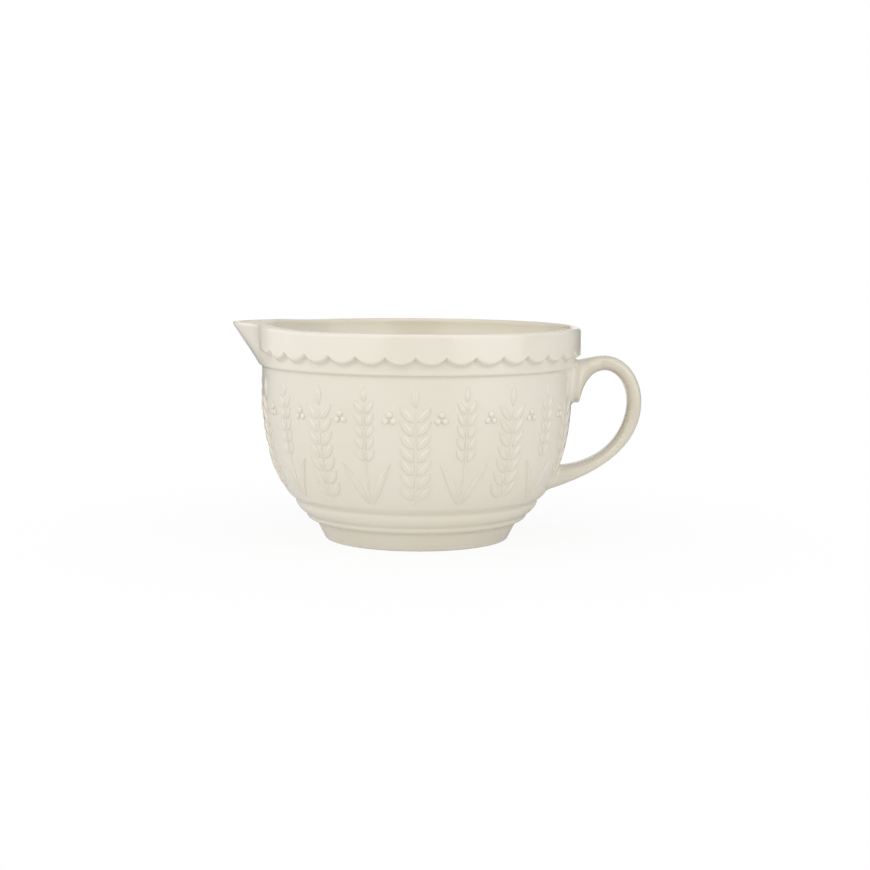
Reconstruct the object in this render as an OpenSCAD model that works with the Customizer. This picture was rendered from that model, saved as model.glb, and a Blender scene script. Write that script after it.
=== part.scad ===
// A batter bowl of glazed ceramic: a deep bowl on a foot ring, with a banded rim, a pinched pouring spout,
// a loop handle and a belt of applied sprigs. Millimetres, +Z up, origin at the middle of the foot's
// resting face, spout towards -X and handle towards +X.

/* [Bowl] */
// Height from the table to the rim
bowl_h = 132.6; // [120:0.1:150]
// Radius of the wall at its widest, just under the rim band
wall_r = 96.6; // [90:0.1:110]
// Thickness of the wall
wall_t = 5.5; // [4:0.1:7]
// Thickness of the floor
floor_t = 6.5; // [4:0.1:9]
// How full the curve of the wall is, where 2 is a plain ellipse
wall_fullness = 2.86; // [2.6:0.02:3.2]

/* [Rim band] */
// Height of the band, from the rim down to the wall
band_h = 24.3; // [21:0.1:30]
// Height of the collar, from the rim down to the points of its hem
collar_h = 14.3; // [10:0.1:15]
// How far the collar stands out from the plain tier under it
collar_out = 3.2; // [1.5:0.1:4.5]
// How far the plain tier stands out from the wall
tier_out = 1.7; // [0.8:0.1:3]
// Number of scallops round the hem
hem_scallops = 36; // [24:4:48]
// How far each scallop hangs below the points of the hem
hem_drop = 3.9; // [2:0.1:4.5]
// Radius of the rounded lip
lip_round = 1.8; // [0.8:0.1:2.4]

/* [Pouring spout] */
// How far the tip of the spout stands out from the collar
spout_reach = 15.5; // [8:0.1:20]
// Scallops of the hem whose place the spout takes
spout_scallops = 4; // [2:2:4]
// How far the tip of the spout rises above the rim
spout_lift = 2; // [0:0.1:5]
// How round the tip of the spout is in plan
spout_tip_round = 0.14; // [0.1:0.01:0.5]

/* [Foot] */
// Height of the foot ring
foot_h = 11.2; // [9:0.1:16]
// Radius of the foot at the table
foot_r = 57.8; // [50:0.1:60]
// Width of the foot ring at half its height
foot_w = 10.6; // [7:0.1:14]
// Depth of the recess inside the foot
foot_recess = 5; // [2:0.1:7]
// Radius of the foot's rounded lower edges
foot_round = 1.6; // [0.5:0.1:2]

/* [Mouldings above the foot] */
// Height of the small bead on the foot
bead_h = 4.6; // [3:0.1:7]
// Height of the broad ring above the bead
ring_h = 9.3; // [6:0.1:13]
// How far the bead swells out from its grooves
bead_swell = 2.2; // [1:0.1:2.6]
// How far the broad ring swells out from its grooves
ring_swell = 1.5; // [0.8:0.1:2.2]
// How far the groove above the ring is set in from the wall's curve
groove_d = 1.6; // [0.4:0.1:2]
// Height over which the wall runs down into that groove
groove_ease = 4; // [2:0.1:5]
// How far the groove on the foot stands out from the wall's curve
foot_flare = 1.9; // [0:0.1:2.4]

/* [Handle] */
// How far the handle stands out from the wall
handle_out = 43.4; // [36:0.1:55]
// How far the top of the loop rises above the foot of the rim band
handle_rise = 6.4; // [4:0.1:9]
// Thickness of the handle, seen from the side
handle_t = 9; // [7:0.1:11]
// Width of the handle
handle_w = 17; // [13:0.1:22]
// How far the upper lug laps onto the plain tier
lug_lap = 3.7; // [1:0.1:4]
// Height of the upper lug
lug_h = 26.5; // [20:0.1:30]
// Width of the upper lug on the wall
lug_w = 38; // [22:0.1:40]
// How far the blunt lower end of the lug stands out from the wall
lug_out = 4.6; // [3:0.1:8]
// Height of the lower end of the handle above the table
tail_z = 31; // [29:0.1:40]
// Height of the lower seat on the wall
tail_h = 15.5; // [12:0.1:22]
// Width of the lower seat
tail_w = 25; // [14:0.1:30]

/* [Sprigs] */
// Number of leafy branches round the wall, with as many ears between them
branch_count = 10; // [6:1:10]
// How far the sprigs stand out from the wall
sprig_out = 1.1; // [0.6:0.1:1.6]
// Plain wall left above and below the belt of sprigs
belt_margin = 6; // [4:0.1:9]
// Length of a branch leaf
leaf_l = 12.5; // [9:0.1:13]
// Width of a branch leaf
leaf_w = 4.6; // [3:0.1:5]
// Length of an ear's grain
grain_l = 9.2; // [6:0.1:9.6]
// Width of an ear's grain
grain_w = 3.9; // [2:0.1:4]
// Pairs of grains in an ear
grain_pairs = 5; // [3:1:5]
// Length of the blades at an ear's root
blade_l = 30; // [20:0.1:34]
// Diameter of a berry
berry_d = 3.8; // [2:0.1:4]
// Width of a stem
stem_w = 1.3; // [0.8:0.1:1.6]

/* [Fits] */
// Glaze line between a sprig and the wall that carries it
sprig_gap = 0.06; // [0.04:0.01:0.15]
// Room between the foot ring and the boss that centres it
foot_gap = 0.1; // [0.05:0.01:0.3]

/* [Hidden] */
$fn = 96;
glaze = [0.87, 0.84, 0.77];
glaze_light = [0.90, 0.87, 0.80];
glaze_deep = [0.83, 0.79, 0.71];

band_z = bowl_h - band_h;
tier_r = wall_r + tier_out;
rim_r = tier_r + collar_out;
hem_z = bowl_h - collar_h;
hem_low_z = hem_z - hem_drop;
hem_step = 360 / hem_scallops;
ring_z = foot_h + bead_h;
field_z = ring_z + ring_h;
ease_z = field_z + groove_ease;
floor_z = foot_recess + floor_t;

function mix(a, b, t) = a + (b - a) * t;
function clamp(t) = min(1, max(0, t));
function smooth(t) = let (u = clamp(t)) u * u * (3 - 2 * u);
// Points of an arc in a section: its centre, radius, first and last angle
arc_steps = 5;
function arc(c, r, a0, a1) =
    [for (i = [0:arc_steps]) let (a = mix(a0, a1, i / arc_steps)) c + r * [cos(a), sin(a)]];

// The wall and its hollow are superellipses that start upright under the band and close at a given height
function curve_r(z, top_r, low_z) =
    top_r * pow(1 - pow(clamp((band_z - z) / (band_z - low_z)), wall_fullness), 1 / wall_fullness);
function wall_at(z) = curve_r(z, wall_r, 0);
function hollow_at(z) = curve_r(z, wall_r - wall_t, floor_z);
wall_steps = 22;
ease_steps = 4;
wall_outside = concat(
    [for (i = [1:ease_steps - 1]) let (t = i / ease_steps, z = mix(field_z, ease_z, t))
        [wall_at(z) - groove_d * (1 - smooth(t)), z]],
    [for (i = [0:wall_steps]) let (z = mix(ease_z, band_z, i / wall_steps)) [wall_at(z), z]]);
// The hollow's points crowd towards the floor, where the curve turns fastest
wall_inside = [for (i = [0:wall_steps]) let (z = mix(band_z, floor_z, sin(90 * i / wall_steps)))
    [hollow_at(z), z]];

// The mouldings swell out between grooves on a line of their own, which starts outside the wall's curve at
// the foot and ends inside it above the ring
swell_steps = 7;
swell_roundness = 0.7;
function groove_r(z) = wall_at(z) + mix(foot_flare, -groove_d, (z - foot_h) / (field_z - foot_h));
function swell(z0, z1, out) =
    [for (i = [0:swell_steps]) let (t = i / swell_steps, z = mix(z0, z1, t))
        [groove_r(z) + out * pow(sin(180 * t), swell_roundness), z]];
mouldings = concat(swell(foot_h, ring_z, bead_swell),
    [for (p = swell(ring_z, field_z, ring_swell)) if (p[1] > ring_z) p]);

// The foot's outside runs from the table up to the lowest groove, and its upright inside follows both
foot_top_r = groove_r(foot_h);
foot_in_r = (foot_r + foot_top_r) / 2 - foot_w;
boss_r = foot_in_r - foot_gap;

module bowl_body() {
    color(glaze)
        rotate_extrude()
            polygon(concat([[0, foot_recess], [boss_r, foot_recess], [boss_r, foot_h]],
                mouldings, wall_outside, wall_inside));
}

module foot_ring() {
    c = foot_round;
    color(glaze_deep)
        rotate_extrude()
            polygon(concat(arc([foot_in_r + c, c], c, 180, 270), arc([foot_r - c, c], c, 270, 360),
                [[foot_top_r, foot_h], [foot_in_r, foot_h]]));
}

// Section of the rim band: a lip as thick as the wall, and an inner face that runs down into the hollow
lip_share = 0.45;
lip = min(lip_round, lip_share * wall_t);
lip_z = bowl_h - lip;
lip_in_r = rim_r - wall_t;
tier_steps = 4;
collar_steps = 6;
inner_steps = tier_steps + collar_steps + 1;
band_lip = concat(arc([rim_r - lip, lip_z], lip, 0, 90), arc([lip_in_r + lip, lip_z], lip, 90, 180));
band_inner = [for (i = [1:inner_steps]) let (t = i / inner_steps)
    [mix(lip_in_r, wall_r - wall_t, smooth(t)), mix(lip_z, band_z, t)]];

// The hem is a row of round scallops, each an arc through two neighbouring points of the hem. It laps up into
// the collar past those points.
band_sweep = 360 - spout_scallops * hem_step;
scallop_half = rim_r * sin(hem_step / 2);
scallop_r = (scallop_half * scallop_half + hem_drop * hem_drop) / (2 * hem_drop);
hem_root = 1;
hem_lap = hem_root / 2;
module hem() {
    intersection() {
        rotate_extrude(angle = band_sweep, start = -band_sweep / 2)
            translate([tier_r - hem_root, hem_low_z - hem_root])
                square([collar_out + hem_root, hem_drop + 2 * hem_root]);
        for (k = [0:hem_scallops - spout_scallops - 1])
            rotate((k + 0.5) * hem_step - band_sweep / 2)
                translate([tier_r - 2 * hem_root, 0, hem_low_z + scallop_r])
                    rotate([0, 90, 0])
                        cylinder(r = scallop_r, h = collar_out + 4 * hem_root);
    }
}

module rim_band() {
    color(glaze_light)
        union() {
            rotate_extrude(angle = band_sweep, start = -band_sweep / 2)
                polygon(concat([[tier_r, band_z], [tier_r, hem_z + hem_lap], [rim_r, hem_z + hem_lap]],
                    band_lip, band_inner));
            hem();
        }
}

// Faces of a tube made of rings of n points, each ring running anticlockwise seen from the ring before it
function tube_sides(steps, n) =
    [for (i = [0:steps - 1], j = [0:n - 1])
        let (a = i * n + j, b = i * n + (j + 1) % n)
            each [[a, b, b + n], [a, b + n, a + n]]];
// An end of such a tube, closed by a strip between the two halves of its ring
function strip_end(first, n) =
    [for (i = [0:n / 2 - 2]) let (a = first + i, b = first + n - 1 - i)
        each [[a, a + 1, b - 1], [a, b - 1, b]]];
function flipped(faces) = [for (f = faces) [f[0], f[2], f[1]]];

// The spout carries the band's section on and draws it out towards the tip. In plan its two flanks run
// straight from the ends of the band to a rounded keel, and the keel runs straight down to the wall,
// where the collar's step dies away to a small ledge.
spout_half = spout_scallops * hem_step / 2;
spout_steps = 16;
spout_ledge = 0.4;
channel_rise = 1.6;
function flank_share(a) =
    let (e = spout_tip_round, q = a / spout_half)
        1 - (sqrt(q * q + e * e) - e) / (sqrt(1 + e * e) - e);
function keel_r(z) = mix(tier_r, rim_r + spout_reach - spout_ledge, clamp((z - band_z) / band_h));
function spout_point(p, out, a) =
    let (s = flank_share(a), r = p[0] + s * out)
        [-r * cos(a), -r * sin(a), p[1] + s * spout_lift * clamp((p[1] - band_z) / band_h)];
// Each point of the section is paired with how far it moves out at the keel
spout_tier = [for (i = [0:tier_steps]) let (z = mix(band_z, hem_z, i / tier_steps))
    [[tier_r, z], keel_r(z) - tier_r]];
spout_collar = [for (i = [0:collar_steps]) let (z = mix(hem_z, lip_z, i / collar_steps))
    [[rim_r, z], max(0, keel_r(z) + spout_ledge - rim_r)]];
spout_lip = [for (i = [1:arc_steps]) [band_lip[i], keel_r(band_lip[i][1]) + spout_ledge - rim_r]];
spout_inside = [for (p = concat([for (i = [arc_steps + 1:2 * arc_steps + 1]) band_lip[i]], band_inner))
    [p, spout_reach * pow(clamp((p[1] - band_z) / band_h), channel_rise)]];
spout_section = concat(spout_tier, spout_collar, spout_lip, spout_inside);

module pouring_spout() {
    n = len(spout_section);
    points = [for (i = [0:spout_steps], s = spout_section)
        spout_point(s[0], s[1], mix(-spout_half, spout_half, i / spout_steps))];
    color(glaze_light)
        polyhedron(points, concat(flipped(strip_end(0, n)), strip_end(spout_steps * n, n),
            tube_sides(spout_steps, n)));
}

// The handle lies between two outlines in the plane of the bowl's axis, each of three curves: up over the
// lug to the top of the loop, round to its far side, and down to the wall
function bezier(p, t) = let (u = 1 - t)
    u * u * u * p[0] + 3 * u * u * t * p[1] + 3 * u * t * t * p[2] + t * t * t * p[3];
lug_top_z = band_z + lug_lap;
bend_z = lug_top_z - lug_h;
loop_share = 0.47;
loop_x = wall_r + loop_share * handle_out;
loop_z = band_z + handle_rise;
far_x = wall_r + handle_out;
// Pulls of the curves' inner points, as shares of the way between their ends
outer_start_pull = [0.35, 0.15, 0.37];
inner_start_pull = [0.1, 0.55, 0.55];
loop_pull = 0.55;
drop_pull = 0.4;
tail_pull = 0.72;
outer_tail_angle = 18;
inner_tail_angle = 4;
function lead(angle, from_x, to_x) = tail_pull * (from_x - to_x) * [1, tan(angle)];
function outline(start, start_pull, top, far, tail, tail_angle) = [
    [start, start + [start_pull[0] * (top[0] - start[0]), start_pull[1] * (top[1] - start[1])],
        top - [start_pull[2] * (top[0] - start[0]), 0], top],
    [top, top + [loop_pull * (far[0] - top[0]), 0], far + [0, loop_pull * (top[1] - far[1])], far],
    [far, far - [0, drop_pull * (far[1] - tail[1])], tail + lead(tail_angle, far[0], tail[0]), tail]];
outer_line = outline([tier_r, lug_top_z], outer_start_pull, [loop_x, loop_z], [far_x, bend_z],
    [wall_at(tail_z), tail_z], outer_tail_angle);
inner_line = outline([wall_at(bend_z) + lug_out, bend_z], inner_start_pull, [loop_x, loop_z - handle_t],
    [far_x - handle_t, bend_z], [wall_at(tail_z + tail_h), tail_z + tail_h], inner_tail_angle);

// One ring of the handle: a rounded oblong between the outlines, at a place along the loop that counts its
// curves. Its ends widen over the given stretch of that count.
ring_points = 16;
ring_squareness = 2.6;
handle_steps = 24;
handle_curves = len(outer_line);
widening = 0.9;
function squared(v) = sign(v) * pow(abs(v), 2 / ring_squareness);
function half_width(u) = u < handle_curves / 2
    ? mix(lug_w, handle_w, smooth(u / widening)) / 2
    : mix(tail_w, handle_w, smooth((handle_curves - u) / widening)) / 2;
function handle_ring(u, sink) =
    let (k = min(handle_curves - 1, floor(u)))
    let (o = bezier(outer_line[k], u - k), i = bezier(inner_line[k], u - k))
    let (c = (o + i) / 2, h = (o - i) / 2)
        [for (j = [0:ring_points - 1]) let (a = 360 * j / ring_points, v = squared(sin(a)))
            [c[0] + h[0] * v - sink, -half_width(u) * squared(cos(a)), c[1] + h[1] * v]];

module handle() {
    rings = concat([handle_ring(0, wall_t + lug_out)],
        [for (i = [0:handle_steps]) handle_ring(handle_curves * i / handle_steps, 0)],
        [handle_ring(handle_curves, wall_t)]);
    last = (len(rings) - 1) * ring_points;
    color(glaze)
        difference() {
            polyhedron([for (ring = rings) each ring],
                concat(flipped(strip_end(0, ring_points)), strip_end(last, ring_points),
                    tube_sides(len(rings) - 1, ring_points)));
            rotate_extrude()
                polygon(concat([[0, field_z]], wall_outside,
                    [[tier_r, band_z], [tier_r, hem_z], [0, hem_z]]));
        }
}

// A place on the wall: x runs round it to the right of the sprig's middle, z is the height, and out is the
// distance off the wall, square to it
slope_step = 0.5;
function on_wall(turn, x, z, out) =
    let (r = wall_at(z), slope = (wall_at(z + slope_step) - wall_at(z - slope_step)) / (2 * slope_step))
    let (k = out / sqrt(1 + slope * slope), a = turn + x / r * 180 / PI)
        [(r + k) * cos(a), (r + k) * sin(a), z - k * slope];

// A leaf, grain or blade: a ridged, pointed oval from a root, with a heading off the upright and a bend.
// Each of its n cross-sections has a left, a right, a ridge and an underside point.
leaf_belly = 0.85;
leaf_fullness = 0.8;
ridge_fullness = 0.5;
function leaf(turn, root, heading, length, width, bend, n) =
    let (place = function (t, side, out)
        let (h = heading + bend * t, m = root + length * t * [sin(h), cos(h)])
            on_wall(turn, m[0] + side * cos(h + bend * t), m[1] - side * sin(h + bend * t), out + sprig_gap))
    let (points = concat([place(0, 0, 0)],
        [for (i = [1:n])
            let (t = i / (n + 1), w = width / 2 * pow(sin(180 * pow(t, leaf_belly)), leaf_fullness))
                each [place(t, -w, 0), place(t, w, 0),
                    place(t, 0, sprig_out * pow(sin(180 * t), ridge_fullness)), place(t, 0, 0)]],
        [place(1, 0, 0)]))
    let (tip = 4 * n + 1, e = tip - 4)
        [points, concat(
            [[0, 1, 3], [0, 3, 2], [0, 4, 1], [0, 2, 4]],
            [for (i = [0:n - 2], f = leaf_band) [for (k = f) 4 * i + k]],
            [[e, tip, e + 2], [e + 2, tip, e + 1], [e, e + 3, tip], [e + 3, e + 1, tip]])];
leaf_band = [[1, 5, 7], [1, 7, 3], [3, 7, 6], [3, 6, 2], [1, 8, 5], [1, 4, 8], [4, 6, 8], [4, 2, 6]];

// A stem: an upright ridge of triangular section
function stem(turn, z0, z1, n) =
    let (points = [for (i = [0:n]) let (z = mix(z0, z1, i / n))
        each [on_wall(turn, -stem_w / 2, z, sprig_gap), on_wall(turn, 0, z, sprig_gap + sprig_out / 2),
            on_wall(turn, stem_w / 2, z, sprig_gap)]])
        [points, concat([[0, 1, 2]], [[3 * n, 3 * n + 2, 3 * n + 1]],
            [for (i = [0:n - 1], j = [0:2]) let (a = 3 * i + j, b = 3 * i + (j + 1) % 3)
                each [[a, a + 3, b + 3], [a, b + 3, b]]])];

// A berry: a low dome of two rings and a crown
berry_sides = 6;
shoulder_r = 0.36;
shoulder_out = 0.7;
function berry(turn, x, z) =
    let (n = berry_sides, ring = function (r, out) [for (j = [0:n - 1]) let (a = 360 * j / n)
        on_wall(turn, x + r * sin(a), z + r * cos(a), out + sprig_gap)])
        [concat(ring(berry_d / 2, 0), ring(shoulder_r * berry_d, shoulder_out * sprig_out),
            [on_wall(turn, x, z, sprig_gap + sprig_out), on_wall(turn, x, z, sprig_gap)]),
         [for (j = [0:n - 1]) let (k = (j + 1) % n)
            each [[j, k, n + k], [j, n + k, n + j], [n + j, n + k, 2 * n], [k, j, 2 * n + 1]]]];

// Many closed shells as the points and faces of one body
function joined(shells) =
    let (starts = [for (i = 0, sum = 0; i < len(shells); sum = sum + len(shells[i][0]), i = i + 1) sum])
        [[for (s = shells) each s[0]],
         [for (i = [0:len(shells) - 1], f = shells[i][1]) [for (k = f) k + starts[i]]]];

// Sprigs keep clear of the handle: turns from the front at which one of a given half width has room
belt_low = field_z + belt_margin;
belt_top = band_z - belt_margin;
sprig_step = 360 / branch_count;
sprig_room = 0.5;
function from_handle(turn) = abs(((turn + 540) % 360) - 180);
function has_room(turn, half) =
    from_handle(turn) > (lug_w / 2 + half + sprig_room) / wall_r * 180 / PI;
function turns(offset, per_step, half) =
    [for (k = [0:branch_count * per_step - 1])
        let (turn = -90 + (k + offset) * sprig_step / per_step)
            if (has_room(turn, half)) turn];

// A branch: a stem with as many pairs of leaves as its length has room for, and a leaf at its tip
stem_cuts = 9;
leaf_cuts = 2;
leaf_angle = 46;
leaf_curl = 6;
leaf_root = stem_w / 2 + sprig_room;
branch_half = leaf_root + leaf_l * sin(leaf_angle);
branch_l = belt_top - belt_low - leaf_l - sprig_room;
leaf_pairs = floor(branch_l / ((leaf_w + sprig_room) / sin(leaf_angle)) - 0.5);
pair_step = branch_l / (leaf_pairs + 0.5);
function branch(turn) = concat(
    [stem(turn, belt_low, belt_low + branch_l, stem_cuts)],
    [leaf(turn, [0, belt_low + branch_l + sprig_room], 0, leaf_l, leaf_w, 0, leaf_cuts)],
    [for (i = [1:leaf_pairs], side = [-1, 1])
        leaf(turn, [side * leaf_root, belt_low + pair_step * (i - 0.5)], side * leaf_angle, leaf_l, leaf_w,
            -side * leaf_curl, leaf_cuts)]);

// An ear: a stem, pairs of grains with one at the tip, and two blades at the root
blade_cuts = 5;
grain_angle = 30;
blade_angle = 20;
blade_curl = 8;
grain_lap = 0.24;
grain_step = (1 - grain_lap) * grain_l;
ear_half = leaf_root + blade_l * sin(blade_angle + blade_curl);
ear_tip_z = belt_top - grain_l;
function ear(turn) = concat(
    [stem(turn, belt_low, ear_tip_z - sprig_room, stem_cuts)],
    [leaf(turn, [0, ear_tip_z], 0, grain_l, grain_w, 0, leaf_cuts)],
    [for (i = [1:grain_pairs], side = [-1, 1])
        leaf(turn, [side * leaf_root, ear_tip_z - grain_step * i], side * grain_angle, grain_l, grain_w, 0,
            leaf_cuts)],
    [for (side = [-1, 1])
        leaf(turn, [side * leaf_root, belt_low + sprig_room], side * blade_angle, blade_l, leaf_w,
            side * blade_curl, blade_cuts)]);

// Berries sit in threes, one above two, between a branch and an ear
berry_step = berry_d + sprig_room;
berry_height = 0.72;
berry_z = mix(belt_low, belt_top, berry_height);
function berries(turn) =
    [for (i = [-1:1]) berry(turn, i * berry_step / 2, berry_z + (1 - abs(i)) * berry_step * sin(60))];

module sprigs(shells) {
    body = joined(shells);
    color(glaze_light)
        polyhedron(body[0], body[1]);
}

module leaf_branches() {
    sprigs([for (turn = turns(0, 1, branch_half)) each branch(turn)]);
}

module wheat_ears() {
    sprigs([for (turn = turns(0.5, 1, ear_half)) each ear(turn)]);
}

module berry_beads() {
    sprigs([for (turn = turns(0.5, 2, berry_step)) each berries(turn)]);
}

bowl_body();
foot_ring();
rim_band();
pouring_spout();
handle();
leaf_branches();
wheat_ears();
berry_beads();
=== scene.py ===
"""Looks of a cream glazed batter bowl: body, foot, rim band with its spout, handle and a belt of sprigs.

Lengths are metres and angles are degrees. The foot stands on z = 0, the spout points to -X, the handle to +X.
"""

import logging
import math
from collections.abc import Iterable, Mapping, Sequence
from dataclasses import dataclass
from enum import Enum
from typing import Any

import bpy
import numpy as np
from mathutils import Matrix, Vector


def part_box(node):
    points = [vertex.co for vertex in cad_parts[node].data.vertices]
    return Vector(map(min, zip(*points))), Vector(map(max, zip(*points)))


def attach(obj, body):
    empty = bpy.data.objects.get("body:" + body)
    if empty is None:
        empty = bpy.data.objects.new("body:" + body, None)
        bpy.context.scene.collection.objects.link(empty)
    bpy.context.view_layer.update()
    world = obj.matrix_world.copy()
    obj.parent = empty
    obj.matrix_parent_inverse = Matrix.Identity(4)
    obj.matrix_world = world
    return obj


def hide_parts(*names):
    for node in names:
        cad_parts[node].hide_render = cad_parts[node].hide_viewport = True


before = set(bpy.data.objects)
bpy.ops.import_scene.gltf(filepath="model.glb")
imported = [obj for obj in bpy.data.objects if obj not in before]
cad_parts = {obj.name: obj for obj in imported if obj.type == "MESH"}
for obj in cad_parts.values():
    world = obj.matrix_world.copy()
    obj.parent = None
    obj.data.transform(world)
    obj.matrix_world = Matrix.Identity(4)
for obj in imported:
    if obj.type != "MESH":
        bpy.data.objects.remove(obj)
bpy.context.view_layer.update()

LOG = logging.getLogger("batter_bowl")
MM = 0.001
BODY = "root"
SHARP_ANGLE = 42.0
BARE_FOOT_Z = 0.2 * MM
WHITE = (1.0, 1.0, 1.0, 1.0)

Colour = tuple[float, float, float]
Point = tuple[float, float]


class Slot(Enum):
    """Names of the material slots."""

    CREAM = "cream_glaze"
    RELIEF = "relief_glaze"
    FOOT = "foot_glaze"


class Weight(Enum):
    """Named weights that a mesh carries for its finish or for its shaping."""

    # Glaze pooling and painted shade in hollows, corners and creases
    POOL = "pool"
    # Thinner glaze and painted highlight on edges and crowns, and painted light on the spout's flank
    THIN = "thin"
    # Painted shade inside the bowl
    INNER = "inner"
    HEM = "hem"
    INSIDE = "inside"
    FACE_R = "face_r"


def srgb(red: int, green: int, blue: int) -> Colour:
    """Turns a colour of 0 to 255 into linear light.

    Args:
        red: Red as a screen shows it.
        green: Green as a screen shows it.
        blue: Blue as a screen shows it.

    Returns:
        The three linear values.
    """
    def linear(v: float) -> float:
        """One channel of it, by the standard's own curve."""
        return v / 12.92 if v <= 0.04045 else ((v + 0.055) / 1.055) ** 2.4
    return linear(red / 255), linear(green / 255), linear(blue / 255)


def smooth(t: np.ndarray | float) -> np.ndarray | float:
    """Eases from 0 to 1 as t does."""
    u = np.clip(t, 0.0, 1.0)
    return u * u * (3 - 2 * u)


def arc(centre: Point, radius: float, first: float, last: float, steps: int) -> list[Point]:
    """Points of an arc in a section.

    Args:
        centre: Middle of the arc, as radius and height.
        radius: Its radius.
        first: Angle of its first point.
        last: Angle of its last point.
        steps: Number of its chords.

    Returns:
        The points, first and last included.
    """
    turns = np.radians(np.linspace(first, last, steps + 1))
    return [(centre[0] + radius * math.cos(a), centre[1] + radius * math.sin(a)) for a in turns]


def eased(low: Point, high: Point, steps: int) -> list[Point]:
    """Points of an eased step in a section, upright at both ends.

    Args:
        low: Its lower end, as radius and height.
        high: Its upper end.
        steps: Number of its chords.

    Returns:
        The points, first and last included.
    """
    u = np.linspace(0, 1, steps + 1)
    out = np.where(u < 0.5, 2 * u * u, 1 - 2 * (1 - u) ** 2)
    return list(zip(low[0] + (high[0] - low[0]) * out, low[1] + (high[1] - low[1]) * u))


def bell_weights(reach: np.ndarray, spread: float) -> np.ndarray:
    """Weights of a soft average, which add up to 1."""
    weights = np.exp(-0.5 * (reach / spread) ** 2)
    return weights / weights.sum()


class Term:
    """A value in a node tree. The usual operators add Math nodes."""

    def __init__(self, tree: "Tree", socket: bpy.types.NodeSocket) -> None:
        """Wraps an output socket of the tree."""
        self.tree = tree
        self.socket = socket

    def __add__(self, other: "Term | float") -> "Term":
        """Sum."""
        return self.tree.math("ADD", self, other)

    def __radd__(self, other: float) -> "Term":
        """Sum, with the number first."""
        return self.tree.math("ADD", other, self)

    def __sub__(self, other: "Term | float") -> "Term":
        """Difference."""
        return self.tree.math("SUBTRACT", self, other)

    def __rsub__(self, other: float) -> "Term":
        """Difference, with the number first."""
        return self.tree.math("SUBTRACT", other, self)

    def __mul__(self, other: "Term | float") -> "Term":
        """Product."""
        return self.tree.math("MULTIPLY", self, other)

    def __rmul__(self, other: float) -> "Term":
        """Product, with the number first."""
        return self.tree.math("MULTIPLY", other, self)

    def __truediv__(self, other: "Term | float") -> "Term":
        """Quotient."""
        return self.tree.math("DIVIDE", self, other)

    def __rtruediv__(self, other: float) -> "Term":
        """Quotient, with the number first."""
        return self.tree.math("DIVIDE", other, self)

    def __pow__(self, other: "Term | float") -> "Term":
        """Power."""
        return self.tree.math("POWER", self, other)

    def __neg__(self) -> "Term":
        """The value with its sign turned."""
        return self.tree.math("MULTIPLY", self, -1.0)

    def __abs__(self) -> "Term":
        """The value without its sign."""
        return self.tree.math("ABSOLUTE", self)


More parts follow.
